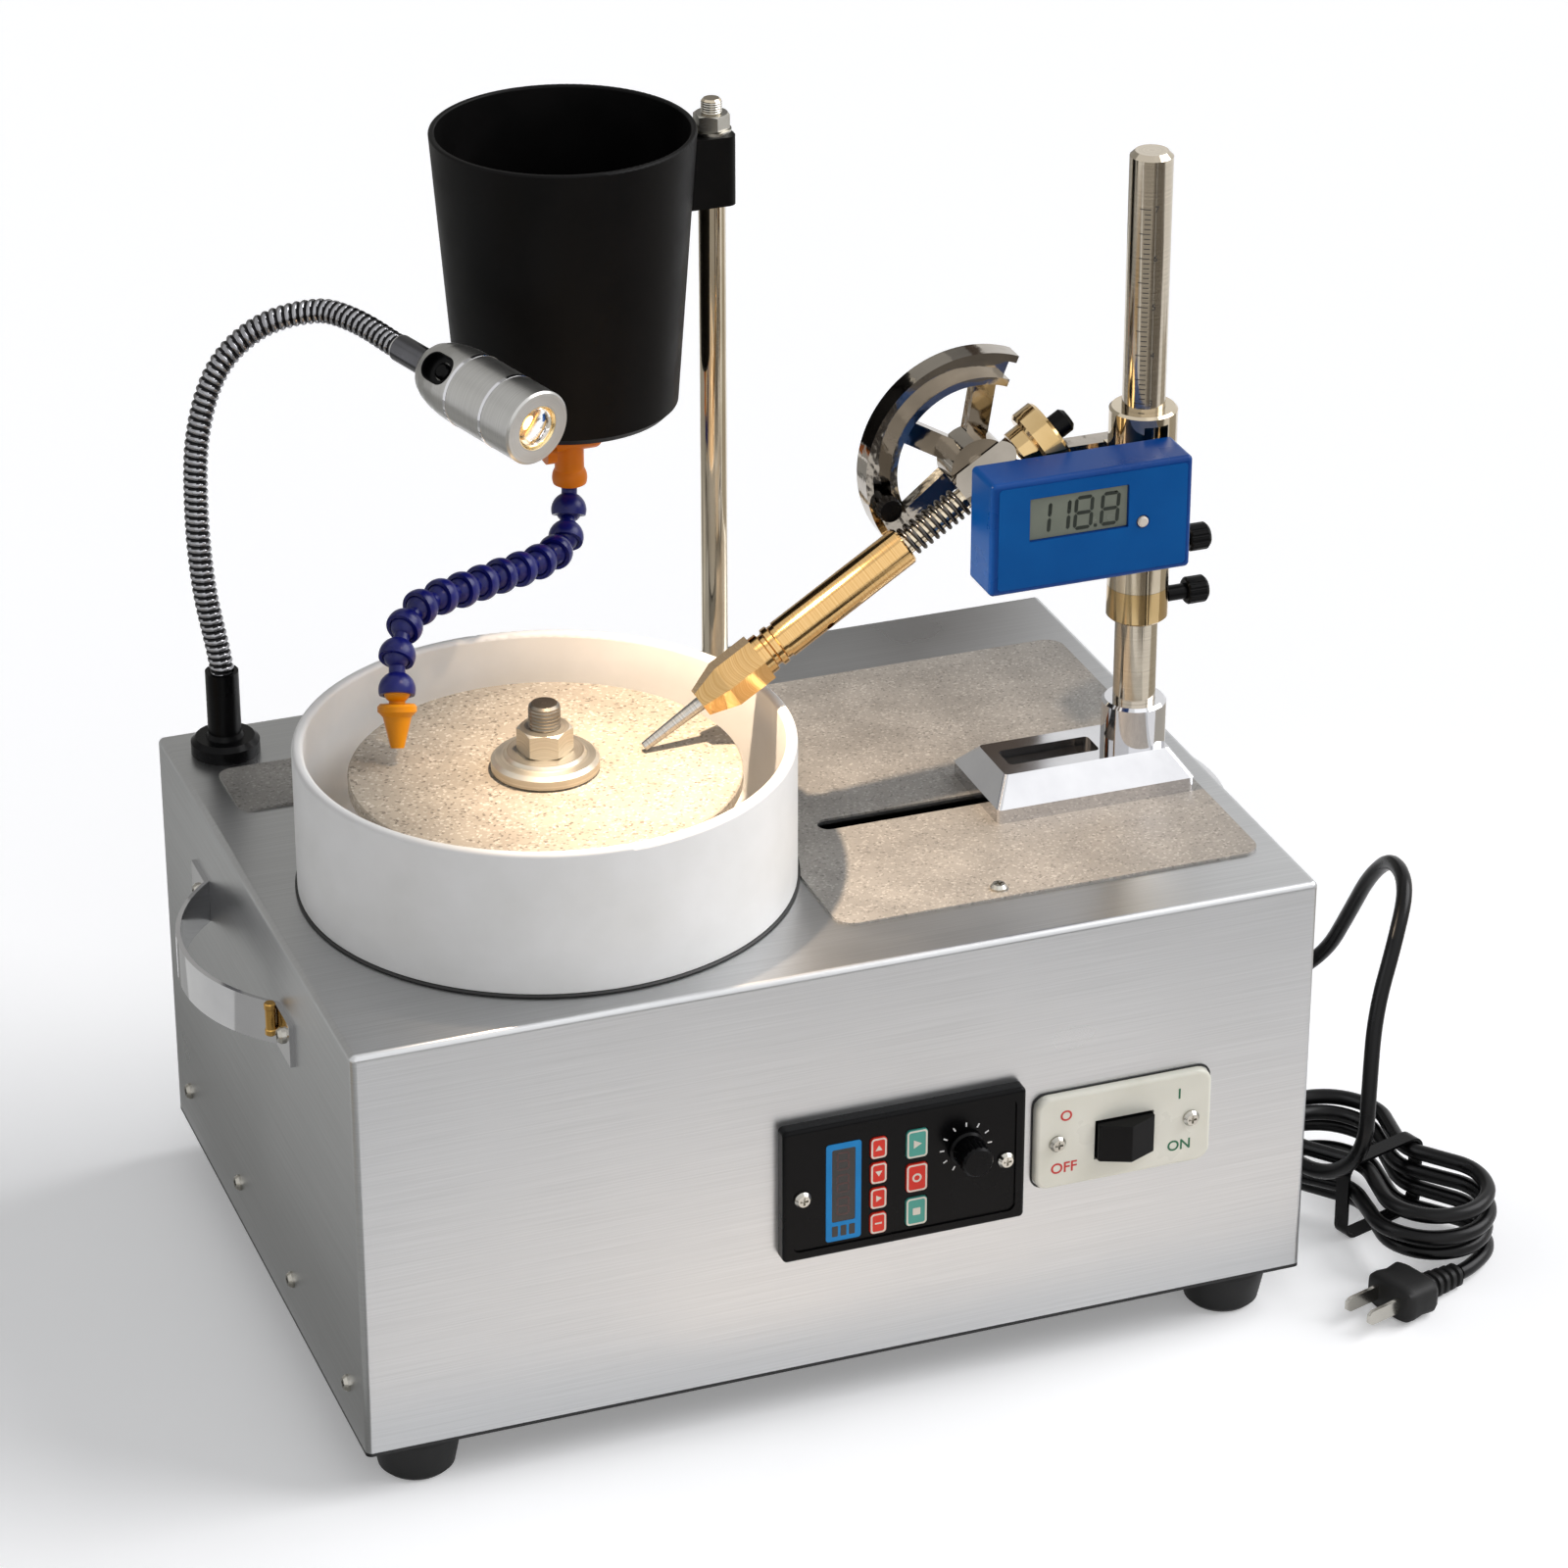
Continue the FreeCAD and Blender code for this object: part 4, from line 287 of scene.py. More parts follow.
nodeFinish = {
    "brushed stainless sheet": ["housing_shell"],
    "black enamel": ["base_tray", "motor_body"],
    "black rubber": ["rubber_feet", "cord_gland"],
    "zinc plate": ["pan_head_screws", "rod_nuts"],
    "embossed grit sheet": ["grit_plates"],
    "chrome plate": ["side_handles", "mast_foot"],
    "bright nickel plate": ["head_sleeve", "pivot_nut", "quill_shaft", "tank_rod"],
    # gold tint on the stop collar and index wheel: painted warm reflection
    "nickel plate with painted warm reflection": ["stop_collar", "index_wheel"],
    # the protractor and trunnion block take the darkened plate: painted shade
    "nickel plate on castings with painted shade": ["protractor", "trunnion_block"],
    "ground nickel rod": ["mast_rod"],
    "dulled zinc plate": ["lap_flange", "lap_nut"],
    "cut steel": ["motor_shaft"],
    "ground tool steel": ["dop_stick"],
    "turned brass": ["quill_sleeve", "dop_chuck"],
    "machined cast aluminium": ["lap_platen"],
    "anodised aluminium": ["lamp_head"],
    "sandy bonded grit": ["lap_disc"],
    "white polyethylene": ["splash_bowl"],
    "black polypropylene": ["water_tank", "tank_bracket"],
    "black moulded ABS": ["collar_knob", "sleeve_knob", "index_knob", "lamp_socket", "lamp_button",
                          "operator_panel", "speed_knob", "rocker_switch", "cord_tie"],
    "blue moulded ABS": ["readout_case"],
    "pale moulded ABS": ["readout_button"],
    "ivory urea": ["switch_plate"],
    "navy acetal": ["hose_upper", "hose_lower"],
    "orange acetal": ["valve_body", "valve_handle"],
    "amber acetal": ["drip_nozzle"],
    "red moulded ABS": ["red_key_1", "red_key_2", "red_key_3", "red_key_4", "reset_key"],
    "green moulded ABS": ["stop_key", "run_key"],
}
for finishName, names in nodeFinish.items():
    for name in names:
        looks = nodes[name].data.materials
        looks.clear()
        looks.append(finish[finishName])
print("materials:", len(finish))


def addObject(name, data, matrix=Matrix.Identity(4)):
    made = bpy.data.objects.new(name, data)
    made.matrix_world = matrix
    bpy.context.scene.collection.objects.link(made)
    return made


def aim(made, direction):
    # turns a camera or a lamp to look this way
    made.rotation_euler = direction.to_track_quat("-Z", "Y").to_euler()


def addRider(name, data, body, material, matrix=Matrix.Identity(4)):
    # a piece that moves with a CAD body
    data.materials.append(finish[material])
    piece = addObject(name, data, matrix)
    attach(piece, body)
    return piece


def addPiece(name, points, faces, body, material, slotName, cornerDegrees=35):
    # smooth over curves, sharp across corners
    mesh = bpy.data.meshes.new(name)
    mesh.from_pydata(points, [], faces)
    mesh.validate()
    mesh.update()
    mesh.shade_smooth()
    mesh.set_sharp_from_angle(angle=radians(cornerDegrees))
    return addRider(name, mesh, body, material)


def framed(axis):
    # two directions square to an axis
    near = up if abs(axis.normalized().dot(up)) < 0.95 else Vector((1, 0, 0))
    side = near.cross(axis).normalized()
    return side, axis.normalized().cross(side)


def skinRings(rings):
    # faces over a row of rings with as many points each, closed at both ends
    steps = len(rings[0])
    last = (len(rings) - 1) * steps
    faces = []
    for i in range(0, last, steps):
        for k in range(steps):
            n = (k + 1) % steps
            faces.append((i + k, i + n, i + steps + n, i + steps + k))
    faces.append(tuple(range(steps - 1, -1, -1)))
    faces.append(tuple(range(last, last + steps)))
    return [p for ring in rings for p in ring], faces


def roundAngles(steps, shift=0.0):
    return [2 * pi * (k + shift) / steps for k in range(steps)]


def lathe(name, profile, base, axis, body, material, slotName, steps=72, flutes=0, fluteDeep=0.0):
    # profile is (radius, height) in mm from base; flutes cut the widest part
    side, other = framed(axis)
    widest = max(radius for radius, height in profile)
    rings = []
    for radius, height in profile:
        ring = []
        for a in roundAngles(steps):
            r = max(radius, 0.001)
            if flutes and radius > 0.95 * widest:
                r -= fluteDeep * (0.5 - 0.5 * cos(a * flutes))
            ring.append((base + axis.normalized() * height + (side * cos(a) + other * sin(a)) * r) * mm)
        rings.append(ring)
    return addPiece(name, *skinRings(rings), body, material, slotName)


def tube(name, line, radiusAt, body, material, slotName, steps=16):
    # rings carried along a line of points in mm without twisting
    rings = []
    side = framed(line[1] - line[0])[0]
    for i, centre in enumerate(line):
        tangent = (line[min(i + 1, len(line) - 1)] - line[max(i - 1, 0)]).normalized()
        side = (side - tangent * side.dot(tangent)).normalized()
        other = tangent.cross(side)
        rings.append([(centre + (side * cos(a) + other * sin(a)) * radiusAt(i, a)) * mm
                      for a in roundAngles(steps)])
    return addPiece(name, *skinRings(rings), body, material, slotName, cornerDegrees=80)


frontTurn = Matrix.Rotation(pi / 2, 4, "X")


def flatShape(name, outlines, at, turn, thick, body, material):
    # flat sheet from closed outlines in mm, with a hole where one outline lies inside another
    curve = bpy.data.curves.new(name, "CURVE")
    curve.dimensions = "2D"
    curve.fill_mode = "BOTH"
    curve.extrude = thick / 2 * mm
    for outline in outlines:
        spline = curve.splines.new("POLY")
        spline.points.add(len(outline) - 1)
        for point, (x, y) in zip(spline.points, outline):
            point.co = (x * mm, y * mm, 0, 1)
        spline.use_cyclic_u = True
    return addRider(name, curve, body, material, Matrix.Translation(Vector(at) * mm) @ turn)


def frontShape(name, outlines, y, thick, body, material):
    # outlines in (x, z), lying on a surface at y that faces the operator
    return flatShape(name, outlines, (0, y - thick / 2, 0), frontTurn, thick, body, material)


def frontSides(nodeName):
    # a node's left, right, bottom and top, seen from the front
    low, high = boxMm(nodeName)
    return low.x, high.x, low.z, high.z


def roundBox(sides, radius, grow=0.0, steps=6):
    # (x0, x1, z0, z1) in mm, let out all round by grow, with round corners
    x0, x1, z0, z1 = sides[0] - grow, sides[1] + grow, sides[2] - grow, sides[3] + grow
    outline = []
    for cx, cz, start in ((x1 - radius, z1 - radius, 0), (x0 + radius, z1 - radius, 90),
                          (x0 + radius, z0 + radius, 180), (x1 - radius, z0 + radius, 270)):
        for k in range(steps + 1):
            a = radians(start + 90 * k / steps)
            outline.append((cx + radius * cos(a), cz + radius * sin(a)))
    return outline


def circle(x, z, radius, steps=40):
    return [(x + radius * cos(a), z + radius * sin(a)) for a in roundAngles(steps)]


def centredText(name, text, height):
    # letters whose capitals are this high in mm
    sizePerCapital = 1.38
    curve = bpy.data.curves.new(name, "FONT")
    curve.body = text
    curve.size = height * sizePerCapital * mm
    curve.align_x = "CENTER"
    curve.align_y = "CENTER"
    return curve


# Camera at the photograph's place
cameraView = {"at": (-634.0, -1769.8, 1168.4), "back": (-0.311, -0.834, 0.456),
              "lens": 122.18, "sensor": 36.0}
cameraData = bpy.data.cameras.new("camera")
cameraData.lens = cameraView["lens"]
cameraData.sensor_width = cameraView["sensor"]
cameraData.clip_end = 20
camera = addObject("camera", cameraData)
camera.location = place(*cameraView["at"])
aim(camera, -Vector(cameraView["back"]))
bpy.context.scene.camera = camera

# Mains lead: one smooth line from the gland through the tied hank to the plug
lead = {"diameter": 6.5, "length": 1.30, "exit": (225, 6, 62), "centre": (254, -92),
        "direction": (0.30, -0.954, 0), "half": 30.0, "endRadius": 28.2, "waist": 16.0, "step": 8.6,
        "low": 5.15, "layers": 4, "loops": 3.625, "perLoop": 16, "bow": 1.06,
        "drop": [(246, 6, 62), (266, -8, 80), (270, -22, 108), (271, -36, 132), (272, -53, 148.5),
                 (267, -77, 149), (255, -92, 133), (242, -103, 108), (236, -113, 80)],
        "intoHank": [(46, (-1, 3, 22)), (22, (0, 0, 0))]}
hankDir = Vector(lead["direction"]).normalized()
hankSide = up.cross(hankDir)


def hankPoint(i, bow):
    # the hank's loops spiral in and out as they go down through four layers
    turn = i / lead["perLoop"]
    loop = int(turn)
    inset = lead["step"] * (turn - loop if loop % 2 == 0 else 1 - turn + loop)
    layer = lead["layers"] - 1 - max(0, loop - 1)
    if loop > 0:
        layer -= sin(pi * min(0.5, turn - loop))
    end = (lead["endRadius"] - inset) * bow
    waist = lead["waist"] - inset
    half = lead["half"]
    slant = end * sqrt(0.5)
    bulge = (end + waist) / 2
    halfLoop = [(-half, -end), (-half - slant, -slant), (-half - end, 0), (-half - slant, slant),
                (-half, end), (-half / 2, bulge), (0, waist), (half / 2, bulge)]
    part = i % lead["perLoop"]
    sign = 1 if part < len(halfLoop) else -1
    along, side = halfLoop[part % len(halfLoop)]
    centre = Vector((*lead["centre"], lead["low"] + layer * lead["step"]))
    return centre + (hankDir * along + hankSide * side) * sign


hankIn = hankPoint(0, 1.0) + hankDir * lead["diameter"]
route = [Vector(p) for p in [lead["exit"]] + lead["drop"]]
route += [hankIn + hankDir * before + Vector(shift) for before, shift in lead["intoHank"]]
lastPoint = int(round(lead["loops"] * lead["perLoop"]))
route += [hankPoint(i, lead["bow"]) for i in range(lastPoint)]
hankOut = hankPoint(lastPoint, 1.0) - hankSide * lead["diameter"]
route += [hankPoint(lastPoint, 1.0), hankOut]
cordCurve = bpy.data.curves.new("mains_lead", "CURVE")
cordCurve.dimensions = "3D"
cordCurve.bevel_depth = lead["diameter"] / 2 * mm
cordCurve.bevel_resolution = 5
cordCurve.use_fill_caps = True
cordCurve.resolution_u = 8
spline = cordCurve.splines.new("NURBS")
spline.points.add(len(route) - 1)
for point, at in zip(spline.points, route):
    point.co = (at.x * mm, at.y * mm, at.z * mm, 1)
spline.order_u = 3
spline.use_endpoint_u = True
mainsLead = addRider("mains_lead", cordCurve, "base", "black PVC jacket")
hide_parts("power_cord", "cord_hank")

# Plug: a moulded grip with a ribbed neck, and two flat pins
plugSize = {"length": 40.0, "grip": 18.0, "width": 26.0, "height": 16.0, "neck": 4.6, "floor": 0.5, "ribs": 5,
            "ribStart": 1.5, "ribPitch": 4.0, "ribGrow": 0.35, "ribPower": 2.6,
            "rib": ((0, 0.9), (0.5, 0), (2.2, 0), (2.7, 0.9)),
            "gripFront": ((-0.5, 4.5), (1.2, 1.6), (3.5, 0.3), (9, 0.9)),
            "gripBack": ((-4, 0.2), (-1, 0.4), (0, 1.6)), "pinLength": 17.0, "pinWidth": 6.3, "pinThick": 1.6,
            "pinSunk": 1.0, "pinTip": 2.0, "pinNarrow": 1.4, "spread": 12.7}
plugOut = hankSide * -1
plugAcross = up.cross(plugOut)


def plugRing(s, width, low, high, power=4.0, steps=28):
    # a rounded rectangle across the plug at distance s from the cord
    ring = []
    for a in roundAngles(steps):
        c, v = cos(a), sin(a)
        x = abs(c) ** (2 / power) * (1 if c >= 0 else -1) * width / 2
        z = abs(v) ** (2 / power) * (1 if v >= 0 else -1) * (high - low) / 2 + (high + low) / 2
        at = hankOut + plugOut * s + plugAcross * x
        ring.append(place(at.x, at.y, z))
    return ring


plugFloor = plugSize["floor"]
gripStart = plugSize["length"] - plugSize["grip"]
gripTop = plugFloor + plugSize["height"]
plugRings = []
for i in range(plugSize["ribs"]):
    s = plugSize["ribStart"] + i * plugSize["ribPitch"]
    wide = plugSize["neck"] + i * plugSize["ribGrow"]
    for ds, shrink in plugSize["rib"]:
        low = plugFloor + shrink
        high = plugFloor + plugSize["neck"] + wide - shrink
        plugRings.append(plugRing(s + ds, 2 * (wide - shrink), low, high, plugSize["ribPower"]))
for start, stations in ((gripStart, plugSize["gripFront"]), (plugSize["length"], plugSize["gripBack"])):
    for ds, inset in stations:
        wide = plugSize["width"] - 2 * inset
        plugRings.append(plugRing(start + ds, wide, plugFloor + inset / 2, gripTop - inset))
plug = addPiece("plug_grip", *skinRings(plugRings), "base", "black rubber", "black_rubber", cornerDegrees=50)
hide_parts("power_plug")
for number, sign in ((1, -1), (2, 1)):
    middle = hankOut + plugOut * plugSize["length"] + plugAcross * (sign * plugSize["spread"] / 2)
    middle.z = plugFloor + plugSize["height"] / 2
    half, thick, long = plugSize["pinWidth"] / 2, plugSize["pinThick"] / 2, plugSize["pinLength"]
    pinRings = []
    stations = ((-plugSize["pinSunk"], 0), (long - plugSize["pinTip"], 0), (long, plugSize["pinNarrow"]))
    for s, narrow in stations:
        edge = half - narrow
        corners = ((-thick, -edge), (thick, -edge), (thick, edge), (-thick, edge))
        pinRings.append([(middle + plugOut * s + plugAcross * dx + up * dz) * mm for dx, dz in corners])
    name = "plug_pin_%d" % number
    addPiece(name, *skinRings(pinRings), "base", "zinc plate", "screw_steel")
print("camera and mains lead placed")

# Gooseneck: a steel strip wound into a ribbed tube
neck = {"socket": (-172, 118, 219), "plain": 14.0, "rib": 3.1, "crest": 5.0, "root": 3.9, "perRib": 8,
        "sides": 32, "seam": 0.36, "tail": 84.0, "beforeTail": 24.0, "shift": (-3, 2, 2),
        "through": [(-177, 119, 268), (-178, 121, 301), (-175, 123, 334), (-165, 125, 359), (-148, 124, 374),
                    (-127, 116, 381)]}
lampTail = lampFace - lampDir * neck["tail"]
neckPoints = [Vector(neck["socket"]), Vector(neck["socket"]) + up * neck["plain"]]
neckPoints += [Vector(p) for p in neck["through"]]
neckPoints += [lampTail - lampDir * neck["beforeTail"] + Vector(neck["shift"]), lampTail]


def evenLine(points, first, last, step, samples=40):
    # an even walk along a smooth line through the points
    slopes = [first] + [(b - a).normalized() for a, b in zip(points, points[2:])] + [last]
    fine = []
    for i in range(len(points) - 1):
        a, b = points[i], points[i + 1]
        reach = (b - a).length
        for k in range(samples):
            t = k / samples
            fine.append(a * (2 * t ** 3 - 3 * t ** 2 + 1) + slopes[i] * (reach * (t ** 3 - 2 * t ** 2 + t))
                        + b * (3 * t ** 2 - 2 * t ** 3) + slopes[i + 1] * (reach * (t ** 3 - t ** 2)))
    fine.append(points[-1])
    lengths = [(b - a).length for a, b in zip(fine, fine[1:])]
    count = int(sum(lengths) / step)
    gap = sum(lengths) / count
    even, travelled = [fine[0]], 0.0
    for i, length in enumerate(lengths):
        while travelled + length >= gap * len(even) - 1e-9 and len(even) < count:
            even.append(fine[i].lerp(fine[i + 1], (gap * len(even) - travelled) / length))
        travelled += length
    return even + [fine[-1]], gap


neckLine, neckGap = evenLine(neckPoints, up, lampDir, neck["rib"] / neck["perRib"])


def ribWave(i, angle):
    # 0 in the seam, 1 on the crest of the winding strip
    return 0.5 - 0.5 * cos(2 * pi * (i * neckGap / neck["rib"] + angle / (2 * pi)))


gooseneck = tube("gooseneck_coil", neckLine,
                 lambda i, a: neck["root"] + (neck["crest"] - neck["root"]) * ribWave(i, a) ** 0.5,
                 "lamp", "wound steel strip", "chrome", neck["sides"])
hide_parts("gooseneck")
# faces in the trough between the turns take the near-black seam material: painted shade
gooseneck.data.materials.append(finish["painted seam shade"])
for polygon in gooseneck.data.polygons:
    ring, k = divmod(polygon.index, neck["sides"])
    if ribWave(ring + 0.5, 2 * pi * (k + 0.5) / neck["sides"]) < neck["seam"]:
        polygon.material_index = 1

# Quill spring, from the trunnion to the brass sleeve
spring = {"start": 13.9, "end": 41.1, "wire": 0.9, "radius": 5.6, "turns": 9, "perTurn": 28, "sides": 12,
          "anchor": 13, "keep": 0.82}
springUp = Vector((0, 1, 0))
springSide = quillDir.cross(springUp)
springLine = []
springSteps = spring["turns"] * spring["perTurn"]
for i in range(springSteps + 1):
    a = 2 * pi * i / spring["perTurn"]
    s = spring["start"] + (spring["end"] - spring["start"]) * i / springSteps
    springLine.append(pivot + quillDir * s + (springUp * cos(a) + springSide * sin(a)) * spring["radius"])
quillSpring = tube("quill_spring_coil", springLine, lambda i, a: spring["wire"],
                   "cradle", "oiled spring steel", "spring_steel", spring["sides"])
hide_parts("quill_spring")
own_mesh(quillSpring)
print("gooseneck and spring made")

# Lamp: reflector, LED, lens, two bright bands, ferrule and the black well round its button.
# Profiles are (radius, distance behind the lamp's face), the well's (end radius, straight length, height).
lamp = {"reflector": [(7.4, 4.7), (8.9, 0.2), (8.7, 0.2), (7.2, 4.4), (0, 4.4)],
        "led": [(0, 4.3), (3.6, 4.3), (3.6, 3.4), (0, 3.4)],
        "lens": 8.4, "lensBack": 2.6, "lensRim": 1.8, "bulge": 2.4,
        "bands": (17.0, 38.0), "bandRadius": 15.12, "band": [(-1.0, -0.9), (0, -0.7), (0, 0.7), (-1.0, 0.9)],
        "ferrule": [(5.2, 64.2), (5.55, 64.4), (5.55, 83.4), (5.2, 83.8)], "wellBack": 48.0, "wellSink": 9.5,
        "well": [(3.75, 0, 0.05), (5.92, 5.0, 0.05), (5.92, 5.0, 4.1), (5.42, 5.0, 4.1), (5.12, 5.0, 1.0),
                 (3.75, 0, 0.8), (3.75, 0, 0.05)]}
back = lampDir * -1
lathe("lamp_reflector", lamp["reflector"], lampFace, back, "lamp", "gilded reflector", "chrome")
lathe("lamp_led", lamp["led"], lampFace, back, "lamp", "warm LED", "satin_aluminium", steps=32)
domeAngles = map(radians, range(0, 90, 10))
dome = [(lamp["lens"] * cos(a), lamp["lensRim"] - lamp["bulge"] * sin(a)) for a in domeAngles]
lens = [(0, lamp["lensBack"]), (lamp["lens"], lamp["lensBack"])] + dome
lens.append((0, lamp["lensRim"] - lamp["bulge"]))
lathe("lamp_lens", lens, lampFace, back, "lamp", "moulded acrylic", "satin_aluminium")
for number, at in enumerate(lamp["bands"], 1):
    profile = [(lamp["bandRadius"] + out, at + height) for out, height in lamp["band"]]
    lathe("lamp_band_%d" % number, profile, lampFace, back, "lamp", "chrome plate", "chrome", steps=96)
lathe("lamp_ferrule", lamp["ferrule"], lampFace, back, "lamp", "black chrome", "chrome", steps=64)
eye = Vector(cameraView["back"])
wellOut = (eye - lampDir * eye.dot(lampDir)).normalized()
wellAcross = wellOut.cross(lampDir)
wellFloor = lampFace + back * lamp["wellBack"] + wellOut * lamp["wellSink"]


def wellRing(radius, straight, height, steps=48):
    ring = []
    for a in roundAngles(steps, 0.5):
        along = radius * cos(a) + (straight / 2 if cos(a) > 0 else -straight / 2)
        ring.append((wellFloor + lampDir * along + wellAcross * (radius * sin(a)) + wellOut * height) * mm)
    return ring


wellPoints, wellFaces = skinRings([wellRing(*row) for row in lamp["well"]])
addPiece("lamp_well", wellPoints, wellFaces[:-2], "lamp", "black moulded ABS", "black_plastic")

# Thin black ring round the foot of the bowl, as (distance out from the bowl's wall, height)
seal = [(-2.5, 0.05), (0.6, 0.05), (0.9, 0.6), (0.2, 1.2), (-2.5, 1.2)]
bowlLow, bowlHigh = boxMm("splash_bowl")
bowlRadius = (bowlHigh.x - bowlLow.x) / 2
lathe("bowl_foot_ring", [(bowlRadius + out, height) for out, height in seal], lapAxis, up, "base", "seal rubber",
      "black_rubber", steps=128)

# Threads of the spindle and the tank's stud; a tooth is (share of the pitch, distance out)
thread = {"core": 0.9, "tooth": ((0.1, -0.05), (0.45, 0.28), (0.55, 0.28), (0.9, -0.05)),
          "spindle": 6.0, "spindlePitch": 1.4, "spindleFrom": 0.1, "spindleShort": 1.2,
          "stud": 4.0, "studPitch": 1.0, "studDown": 6.0, "studLong": 5.0}


def threadRings(name, radius, base, length, pitch, body, material, slotName):
    count = int(length / pitch)
    teeth = [(radius + out, (i + share) * pitch) for i in range(count) for share, out in thread["tooth"]]
    core = radius - thread["core"]
    profile = [(core, 0)] + teeth + [(core, count * pitch)]
    lathe(name, profile, base, up, body, material, slotName, steps=48)


nutTop = boxMm("lap_nut")[1].z
threadFoot = Vector((lapAxis.x, lapAxis.y, nutTop + thread["spindleFrom"]))
threadLong = boxMm("motor_shaft")[1].z - nutTop - thread["spindleShort"]
threadRings("spindle_thread", thread["spindle"], threadFoot, threadLong, thread["spindlePitch"],
            "lap", "cut steel", "spindle_steel")
rodLow, rodHigh = boxMm("tank_rod")
stud = (rodLow + rodHigh) / 2
stud.z = rodHigh.z - thread["studDown"]
threadRings("tank_stud_thread", thread["stud"], stud, thread["studLong"], thread["studPitch"],
            "base", "zinc plate", "screw_steel")

# Painted shade: a thin black sheet on the floor of the mast foot's pocket darkens the recess
pocketShade = {"sides": (108.0, 147.0, -36.5, -23.5), "corner": 2.0, "gap": 0.1, "height": 5.3, "thick": 0.5}
deckTop = boxMm("grit_plates")[1].z
flatShape("painted_pocket_shade", [roundBox(pocketShade["sides"], pocketShade["corner"], -pocketShade["gap"])],
          (0, 0, deckTop + pocketShade["height"]), Matrix.Identity(4), pocketShade["thick"],
          "mast", "seal rubber")

# Brass pins at the front folds of the strap handles; an end is (share of the radius, distance in)
strap = {"pinY": -41.2, "gap": 1.9, "pinRadius": 2.3, "pinLong": 14.0, "rise": 3.0,
         "pinEnd": ((0.8, 0), (1, 0.5), (1, 2.4), (0.86, 2.8))}
handleLow, handleHigh = boxMm("side_handles")
caseLow, caseHigh = boxMm("housing_shell")
pinLow = (handleLow.z + handleHigh.z) / 2 - strap["pinLong"] / 2 + strap["rise"]
r, long = strap["pinRadius"], strap["pinLong"]
pinEnd = [(r * share, height) for share, height in strap["pinEnd"]]
farEnd = [(radius, long - height) for radius, height in reversed(pinEnd)]
pinProfile = [(0, 0)] + pinEnd + farEnd + [(0, long)]
for side, name in ((-1, "handle_pin_left"), (1, "handle_pin_right")):
    foot = Vector((side * (caseHigh.x + strap["gap"] + r), strap["pinY"], pinLow))
    lathe(name, pinProfile, foot, up, "base", "drawn brass", "brass", steps=32)

# Fluted lock knob on the protractor's ring: a stem from the web, then (radius, height above the ring's face)
lock = {"angle": 198.0, "reach": 39.5, "face": -15.5, "web": -9.4, "stem": 2.8, "flutes": 16,
        "fluteDeep": 0.7, "knob": [(2.8, 0.2), (4.5, 0.2), (5.0, 0.8), (5.0, 4.8), (4.5, 5.6), (0, 5.6)]}
lockAt = pivot + Vector((cos(radians(lock["angle"])), 0, sin(radians(lock["angle"])))) * lock["reach"]
lockAt.y = lock["web"]
stemLong = lock["web"] - lock["face"]
lockProfile = [(0, 0), (lock["stem"], 0)] + [(radius, stemLong + height) for radius, height in lock["knob"]]
lathe("ring_lock_knob", lockProfile, lockAt, Vector((0, -1, 0)), "head", "black moulded ABS", "black_plastic",
      steps=96, flutes=lock["flutes"], fluteDeep=lock["fluteDeep"])
print("fittings made")

# Readout: film, liquid crystal and a running angle
readout = {"lcd": (102.0, 143.0, 322.4, 340.0), "corner": 0.6, "gap": 0.2, "sink": 1.2, "field": 0.3,
           "ink": 0.06, "film": 0.2, "filmLeft": 3.2, "filmInset": 2.4, "filmCorner": 1.6, "buttonGap": 0.7,
           "digit": (6.6, 12.6, 1.5), "digitZ": 324.6, "lean": 0.06,
           "figures": (("1", 103.5), ("1", 111.5), ("8", 121.0), ("8", 132.0)),
           "point": (129.0, 130.4, 324.0, 325.4), "pointCorner": 0.3}
caseNear, caseFar = boxMm("readout_case")
buttonLow, buttonHigh = boxMm("readout_button")
buttonMiddle = (buttonLow + buttonHigh) / 2
filmHole = circle(buttonMiddle.x, buttonMiddle.z, (buttonHigh.x - buttonLow.x) / 2 + readout["buttonGap"])
inset = readout["filmInset"]
filmSides = (caseNear.x + readout["filmLeft"], caseFar.x - inset, caseNear.z + inset, caseFar.z - inset)
lcdHole = roundBox(readout["lcd"], readout["corner"], readout["gap"])
frontShape("readout_film", [roundBox(filmSides, readout["filmCorner"]), lcdHole, filmHole],
           caseNear.y, readout["film"], "head", "blue printed film")
lcdY = caseNear.y + readout["sink"]
lcdEdge = roundBox(readout["lcd"], readout["corner"], -readout["gap"])
frontShape("lcd_field", [lcdEdge], lcdY, readout["field"], "head", "liquid crystal field")
segments = {"a": (0, 2, 1, 2), "b": (1, 1, 1, 2), "c": (1, 0, 1, 1), "d": (0, 0, 1, 0), "e": (0, 0, 0, 1),
            "f": (0, 1, 0, 2), "g": (0, 1, 1, 1)}
digits = {"1": "bc", "8": "abcdefg"}
barGap = 0.62


def segmentDigit(digit, x, z, width, height, stroke, lean):
    # outlines of the lit bars of one figure
    outlines = []
    for key in digits[digit]:
        ax, az, bx, bz = segments[key]
        start, end = Vector((ax * width, az * height / 2)), Vector((bx * width, bz * height / 2))
        along = (end - start).normalized()
        across = Vector((-along.y, along.x)) * stroke / 2
        start, end = start + along * stroke * barGap, end - along * stroke * barGap
        tip = along * stroke / 2
        bar = [start - tip, start + across, end + across, end + tip, end - across, start - across]
        outlines.append([(x + p.x + p.y * lean, z + p.y) for p in bar])
    return outlines


inkY = lcdY - readout["field"]
inked = {}
for number, (digit, x) in enumerate(readout["figures"], 1):
    bars = segmentDigit(digit, x, readout["digitZ"], *readout["digit"], readout["lean"])
    inked["lcd_digit_%d" % number] = bars
inked["lcd_point"] = [roundBox(readout["point"], readout["pointCorner"])]
for name, outlines in inked.items():
    frontShape(name, outlines, inkY, readout["ink"], "head", "liquid crystal ink")

